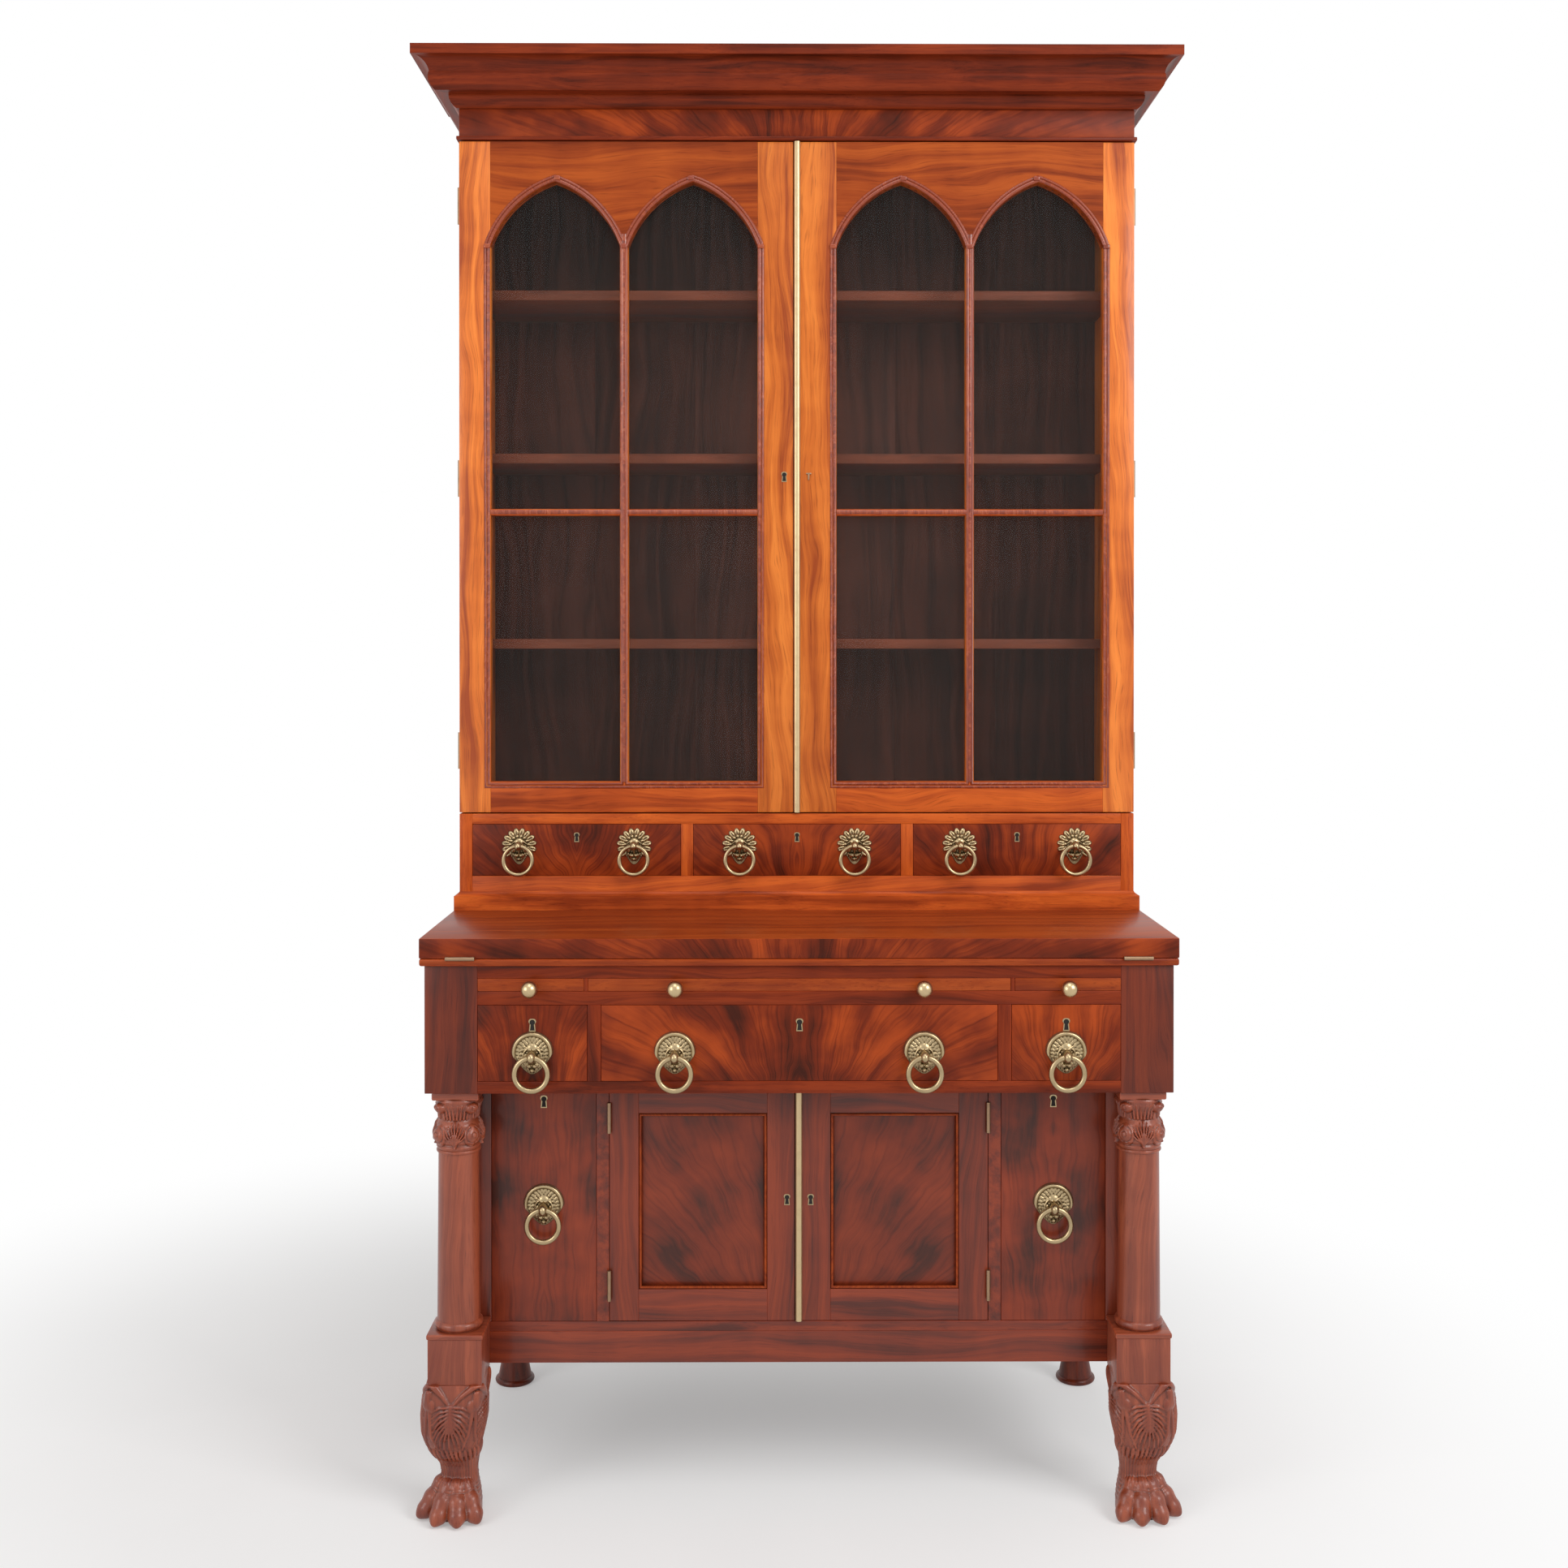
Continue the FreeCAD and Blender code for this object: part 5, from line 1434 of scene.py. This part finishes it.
def blended(stops, place):
    """Values between rows of stops, along their first column, which falls."""
    for high, low in zip(stops, stops[1:]):
        if place >= low[0]:
            t = limited((high[0] - place) / (high[0] - low[0]))
            return [a + (b - a) * t for a, b in zip(high[1:], low[1:])]
    return list(stops[-1][1:])


def leg_section(level):
    """Middle and half sizes of the leg at a level."""
    inner, outer, front, back = blended(LEG_ROWS, level)
    return (inner + outer) / 2, (front + back) / 2, (outer - inner) / 2, (back - front) / 2


def leg_loft(rows=70, segments=72):
    """Closed leg, square at the top and round below."""
    points = []
    for i in range(rows):
        level = LEG_TOP * (1.0 - i / (rows - 1))
        x, y, half_x, half_y = leg_section(level)
        power = 2.0 / (2.5 + 4.0 * max(0.0, (level - 165.0) / 36.0))
        for j in range(segments):
            angle = 2.0 * math.pi * j / segments
            cosine, sine = math.cos(angle), math.sin(angle)
            points.append(Vector((x + half_x * math.copysign(abs(cosine) ** power, cosine),
                                  y + half_y * math.copysign(abs(sine) ** power, sine), level)))
    faces = [face[::-1] for face in tube_grid(rows, segments)]
    faces.append(list(range(segments)))
    faces.append(list(range((rows - 1) * segments, rows * segments))[::-1])
    return points, faces


def foot_blank():
    """Leg and toes joined into one closed surface."""
    steps = 6
    shape = bmesh.new()
    points, faces = leg_loft()
    verts = [shape.verts.new(point) for point in points]
    for face in faces:
        shape.faces.new([verts[index] for index in face])
    for angle in TOE_ANGLES:
        turn = math.radians(angle)
        ahead = Vector((math.sin(turn), -math.cos(turn), 0.0))
        for (d0, z0, r0), (d1, z1, r1) in zip(TOE_CHAIN, TOE_CHAIN[1:]):
            for k in range(steps):
                t = k / steps
                centre = PAW_MIDDLE + ahead * (d0 + (d1 - d0) * t) + Vector((0.0, 0.0, z0 + (z1 - z0) * t))
                bmesh.ops.create_icosphere(shape, subdivisions=3, radius=r0 + (r1 - r0) * t,
                                           matrix=Matrix.Translation(centre))
    mesh = bpy.data.meshes.new("foot_blank")
    shape.to_mesh(mesh)
    shape.free()
    holder = link("foot_blank", mesh)
    join = holder.modifiers.new("join", "REMESH")
    join.mode = "VOXEL"
    join.voxel_size = 1.45
    soften = holder.modifiers.new("soften", "SMOOTH")
    soften.iterations = 4
    return made_mesh(holder)


def leaf_lines():
    """Ribs and veins of half a hanging leaf: points across and along it, with width and height."""
    lines = [([(0.0, 172.0), (0.0, 130.0), (0.0, 92.0)], 3.2, 4.6),
             ([(30.0, 200.0), (14.0, 186.0), (0.5, 170.0)], 4.6, 5.6),
             ([(31.5, 190.0), (30.0, 160.0), (27.0, 128.0), (20.0, 106.0)], 3.6, 4.8)]
    for k in range(8):
        turn = math.radians(20.0 + 8.6 * k)
        reach = 31.0 + 5.4 * k
        start = (1.4, 171.0 - 4.0 * k)
        end = (min(27.0, reach * math.cos(turn)), start[1] - 0.86 * reach * math.sin(turn))
        bow = ((start[0] + end[0]) / 2 + 1.5, (start[1] + end[1]) / 2 + 3.4)
        lines.append(([start, bow, end], 2.3, 3.9))
    return lines


LEAF_LINES = leaf_lines()
LEAF_CURL = ((30.0, 170.0), (8.0, 11.2), 4.4)
LEAF_SPAN = (84.0, 203.0)
HAIR_SPAN = (46.0, 92.0)
FRINGE_STEP = 8.0


def leg_relief(across, level):
    """Carving on the leg: a hanging leaf with a rolled edge on each side, a fringe and hair."""
    relief = 0.0
    place = (abs((across + LEG_FACE / 2) % LEG_FACE - LEG_FACE / 2), level)
    if LEAF_SPAN[0] < level < LEAF_SPAN[1]:
        relief = max(ridge(place, *line) for line in LEAF_LINES)
        relief = max(relief, dome(place, *LEAF_CURL))
        fringe = (across + FRINGE_STEP / 2) % FRINGE_STEP - FRINGE_STEP / 2
        relief = max(relief, dome((fringe, level), (0.0, 96.0), (3.7, 10.0), 3.6))
    if HAIR_SPAN[0] < level < HAIR_SPAN[1]:
        hair = math.sin(0.95 * across + 0.7 * math.sin(0.13 * level))
        fade = min(1.0, (level - HAIR_SPAN[0]) / 10.0, (HAIR_SPAN[1] - level) / 4.0)
        relief = max(relief, 1.1 * fade * max(0.0, hair))
    return relief


def toe_relief(point, normal):
    """Wrinkles over the knuckles, cut across each toe."""
    offset = point - PAW_MIDDLE
    ahead = math.hypot(offset.x, offset.y)
    if point.z > 48.0 or ahead < 20.0 or normal.z < 0.05:
        return 0.0
    wrinkle = math.cos(2.0 * math.pi * (ahead - 0.6 * point.z) / 5.2)
    fade = max(0.0, 1.0 - abs(ahead - 32.0) / 11.0)
    return 0.8 * fade * wrinkle


class BOOKCASE_OT_feet(bpy.types.Operator):
    """Carved paw feet under the columns"""
    bl_idname = "bookcase.feet"
    bl_label = "Paw Feet"

    def execute(self, context):
        blank = foot_blank()
        normals = [Vector(entry.vector) for entry in blank.vertex_normals]
        points = []
        for vertex, normal in zip(blank.vertices, normals):
            point = vertex.co.copy()
            x, y, *_ = leg_section(point.z)
            across = math.atan2(point.x - x, y - point.y) * LEG_ROUND
            fade = limited((LEG_TOP - point.z) / 2.0)
            point += normal * fade * (leg_relief(across, point.z) + toe_relief(point, normal))
            point.z = min(LEG_TOP, max(0.0, point.z))
            points.append(point * MM)
        faces = [list(polygon.vertices) for polygon in blank.polygons]
        marks = surface_marks(points, faces)
        piece = Piece("carved")
        for word, sign in SIDES.items():
            placed = [Vector((sign * point.x, point.y, point.z)) for point in points]
            lo = Vector(map(min, zip(*placed)))
            hi = Vector(map(max, zip(*placed)))
            turned = faces if sign > 0 else [face[::-1] for face in faces]
            piece.add(placed, turned, 0, **marks, **grain_marks(placed, lo, hi, f"{word}_foot", 2))
        piece.finish("paw_feet", "carcase", "red_mahogany", "front_feet", crease=80.0)
        return {"FINISHED"}


# Nodes that keep their CAD shape

KEPT_FINISHES = {
    # ending of the node's name: finish
    "_glass": "glass",
    "_ring": "brass",
    "_knob": "knob",
    "_knobs": "knob",
    "_astragal": "strip",
    "hinges": "hinge",
}


class BOOKCASE_OT_carried(bpy.types.Operator):
    """Finishes for the solids whose shape is already right: glass, rings and brass strips"""
    bl_idname = "bookcase.carried"
    bl_label = "Glass, Rings and Strips"

    def execute(self, context):
        for name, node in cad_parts.items():
            for ending, finish in KEPT_FINISHES.items():
                if name.endswith(ending):
                    node.data.materials.clear()
                    node.data.materials.append(FINISH[finish])
        return {"FINISHED"}


# Stage

class BOOKCASE_OT_stage(bpy.types.Operator):
    """Floor, light and camera"""
    bl_idname = "bookcase.stage"
    bl_label = "Stage"

    def execute(self, context):
        self.floor()
        self.world()
        self.lamps()
        self.camera()
        context.scene.view_settings.view_transform = "Standard"
        return {"FINISHED"}

    def seen(self, tree):
        """One for camera, glossy and transmission rays."""
        path = tree.add("ShaderNodeLightPath")
        total = path.outputs["Is Camera Ray"]
        for name in ("Is Glossy Ray", "Is Transmission Ray"):
            node = tree.add("ShaderNodeMath", {"operation": "ADD", "use_clamp": True},
                            {0: total, 1: path.outputs[name]})
            total = node.outputs[0]
        return total

    def floor(self):
        """Pale round floor that fades to white away from the object."""
        shape = bmesh.new()
        bmesh.ops.create_circle(shape, cap_ends=True, segments=96, radius=9.0)
        mesh = bpy.data.meshes.new("floor")
        shape.to_mesh(mesh)
        shape.free()
        floor = link("floor", mesh)
        shader = Shader("pale_floor")
        place = shader.place()
        speckle = shader.noise(place, (3.0, 3.0, 3.0), 3.0)
        base = shader.ramp(speckle, [(0.3, (0.93, 0.93, 0.93)), (0.7, (0.96, 0.96, 0.96))])
        shader.set(Base_Color=base, Roughness=0.9, Specular_IOR_Level=0.1)
        distance = shader.add("ShaderNodeVectorMath", {"operation": "LENGTH"},
                              {0: shader.vector("ADD", place, (0.30, 0.0, 0.0))}).outputs["Value"]
        fade = shader.add("ShaderNodeMapRange", {"interpolation_type": "SMOOTHSTEP"},
                          {"Value": distance, "From Min": 0.55, "From Max": 1.9, "To Min": 0.30}).outputs[0]
        white = shader.add("ShaderNodeEmission")
        shown = shader.math("MULTIPLY", fade, self.seen(shader))
        shader.send(shader.mix_shaders(shown, shader.surface, white))
        mesh.materials.append(shader.material)

    def world(self):
        """White to the camera and in reflections, and soft light otherwise."""
        world = bpy.data.worlds.new("studio")
        bpy.context.scene.world = world
        world.use_nodes = True
        tree = Tree(world.node_tree)
        soft = tree.add("ShaderNodeBackground", inputs={"Color": (1.0, 0.98, 0.96, 1.0), "Strength": 0.42})
        white = tree.add("ShaderNodeBackground", inputs={"Color": (1.0, 1.0, 1.0, 1.0), "Strength": 1.0})
        both = tree.mix_shaders(self.seen(tree), soft, white)
        tree.add("ShaderNodeOutputWorld", inputs={0: both.outputs[0]})

    def lamps(self):
        """Two large soft lamps in front and one above, which the panes don't mirror."""
        target = Vector((0.0, 0.0, 1.15))
        rows = {"key_lamp": ((2.7, -2.5, 2.9), 1.8, 74.0), "fill_lamp": ((-2.9, -2.5, 1.9), 1.8, 36.0),
                "top_lamp": ((0.0, -1.6, 4.6), 2.0, 34.0)}
        for name, (place, width, power) in rows.items():
            lamp = bpy.data.lights.new(name, "AREA")
            lamp.shape = "SQUARE"
            lamp.size = width
            lamp.energy = power
            lamp.use_nodes = True
            tree = Tree(lamp.node_tree)
            sharp = tree.add("ShaderNodeLightPath").outputs["Is Singular Ray"]
            level = tree.add("ShaderNodeMath", {"operation": "SUBTRACT"}, {0: 1.0, 1: sharp})
            glow = tree.add("ShaderNodeEmission", inputs={"Strength": level.outputs[0]})
            tree.add("ShaderNodeOutputLight", inputs={0: glow.outputs[0]})
            holder = link(name, lamp)
            holder.location = place
            holder.rotation_euler = (target - Vector(place)).to_track_quat("-Z", "Y").to_euler()

    def camera(self):
        """Camera where the photograph was taken from."""
        view = bpy.context.scene.bookcase_view
        lens = bpy.data.cameras.new("camera")
        lens.lens = view.camera_lens
        lens.shift_y = view.camera_shift
        holder = link("camera", lens)
        holder.location = view.camera_place
        holder.rotation_euler = (math.pi / 2 - view.camera_pitch, 0.0, -view.camera_yaw)
        bpy.context.scene.camera = holder


OPERATORS = (
    BOOKCASE_OT_case, BOOKCASE_OT_mouldings, BOOKCASE_OT_desk, BOOKCASE_OT_drawers, BOOKCASE_OT_doors,
    BOOKCASE_OT_beads, BOOKCASE_OT_plates, BOOKCASE_OT_columns, BOOKCASE_OT_feet, BOOKCASE_OT_carried,
    BOOKCASE_OT_stage,
)


class BOOKCASE_PT_panel(bpy.types.Panel):
    """Lists the steps that dress the bookcase"""
    bl_label = "Secretaire Bookcase"
    bl_space_type = "VIEW_3D"
    bl_region_type = "UI"
    bl_category = "Bookcase"

    def draw(self, context):
        for operator in OPERATORS:
            self.layout.operator(operator.bl_idname)


CLASSES = (BookcaseFinishes, BookcaseSizes, BookcaseView, *OPERATORS, BOOKCASE_PT_panel)


def register():
    for cls in CLASSES:
        bpy.utils.register_class(cls)
    bpy.types.Scene.bookcase_finishes = PointerProperty(type=BookcaseFinishes)
    bpy.types.Scene.bookcase_sizes = PointerProperty(type=BookcaseSizes)
    bpy.types.Scene.bookcase_view = PointerProperty(type=BookcaseView)


def unregister():
    for name in ("bookcase_finishes", "bookcase_sizes", "bookcase_view"):
        delattr(bpy.types.Scene, name)
    for cls in reversed(CLASSES):
        bpy.utils.unregister_class(cls)


def main():
    """Dress the bookcase."""
    register()
    make_finishes()
    for operator in OPERATORS:
        group, name = operator.bl_idname.split(".")
        getattr(getattr(bpy.ops, group), name)()


if __name__ == "__main__":
    main()
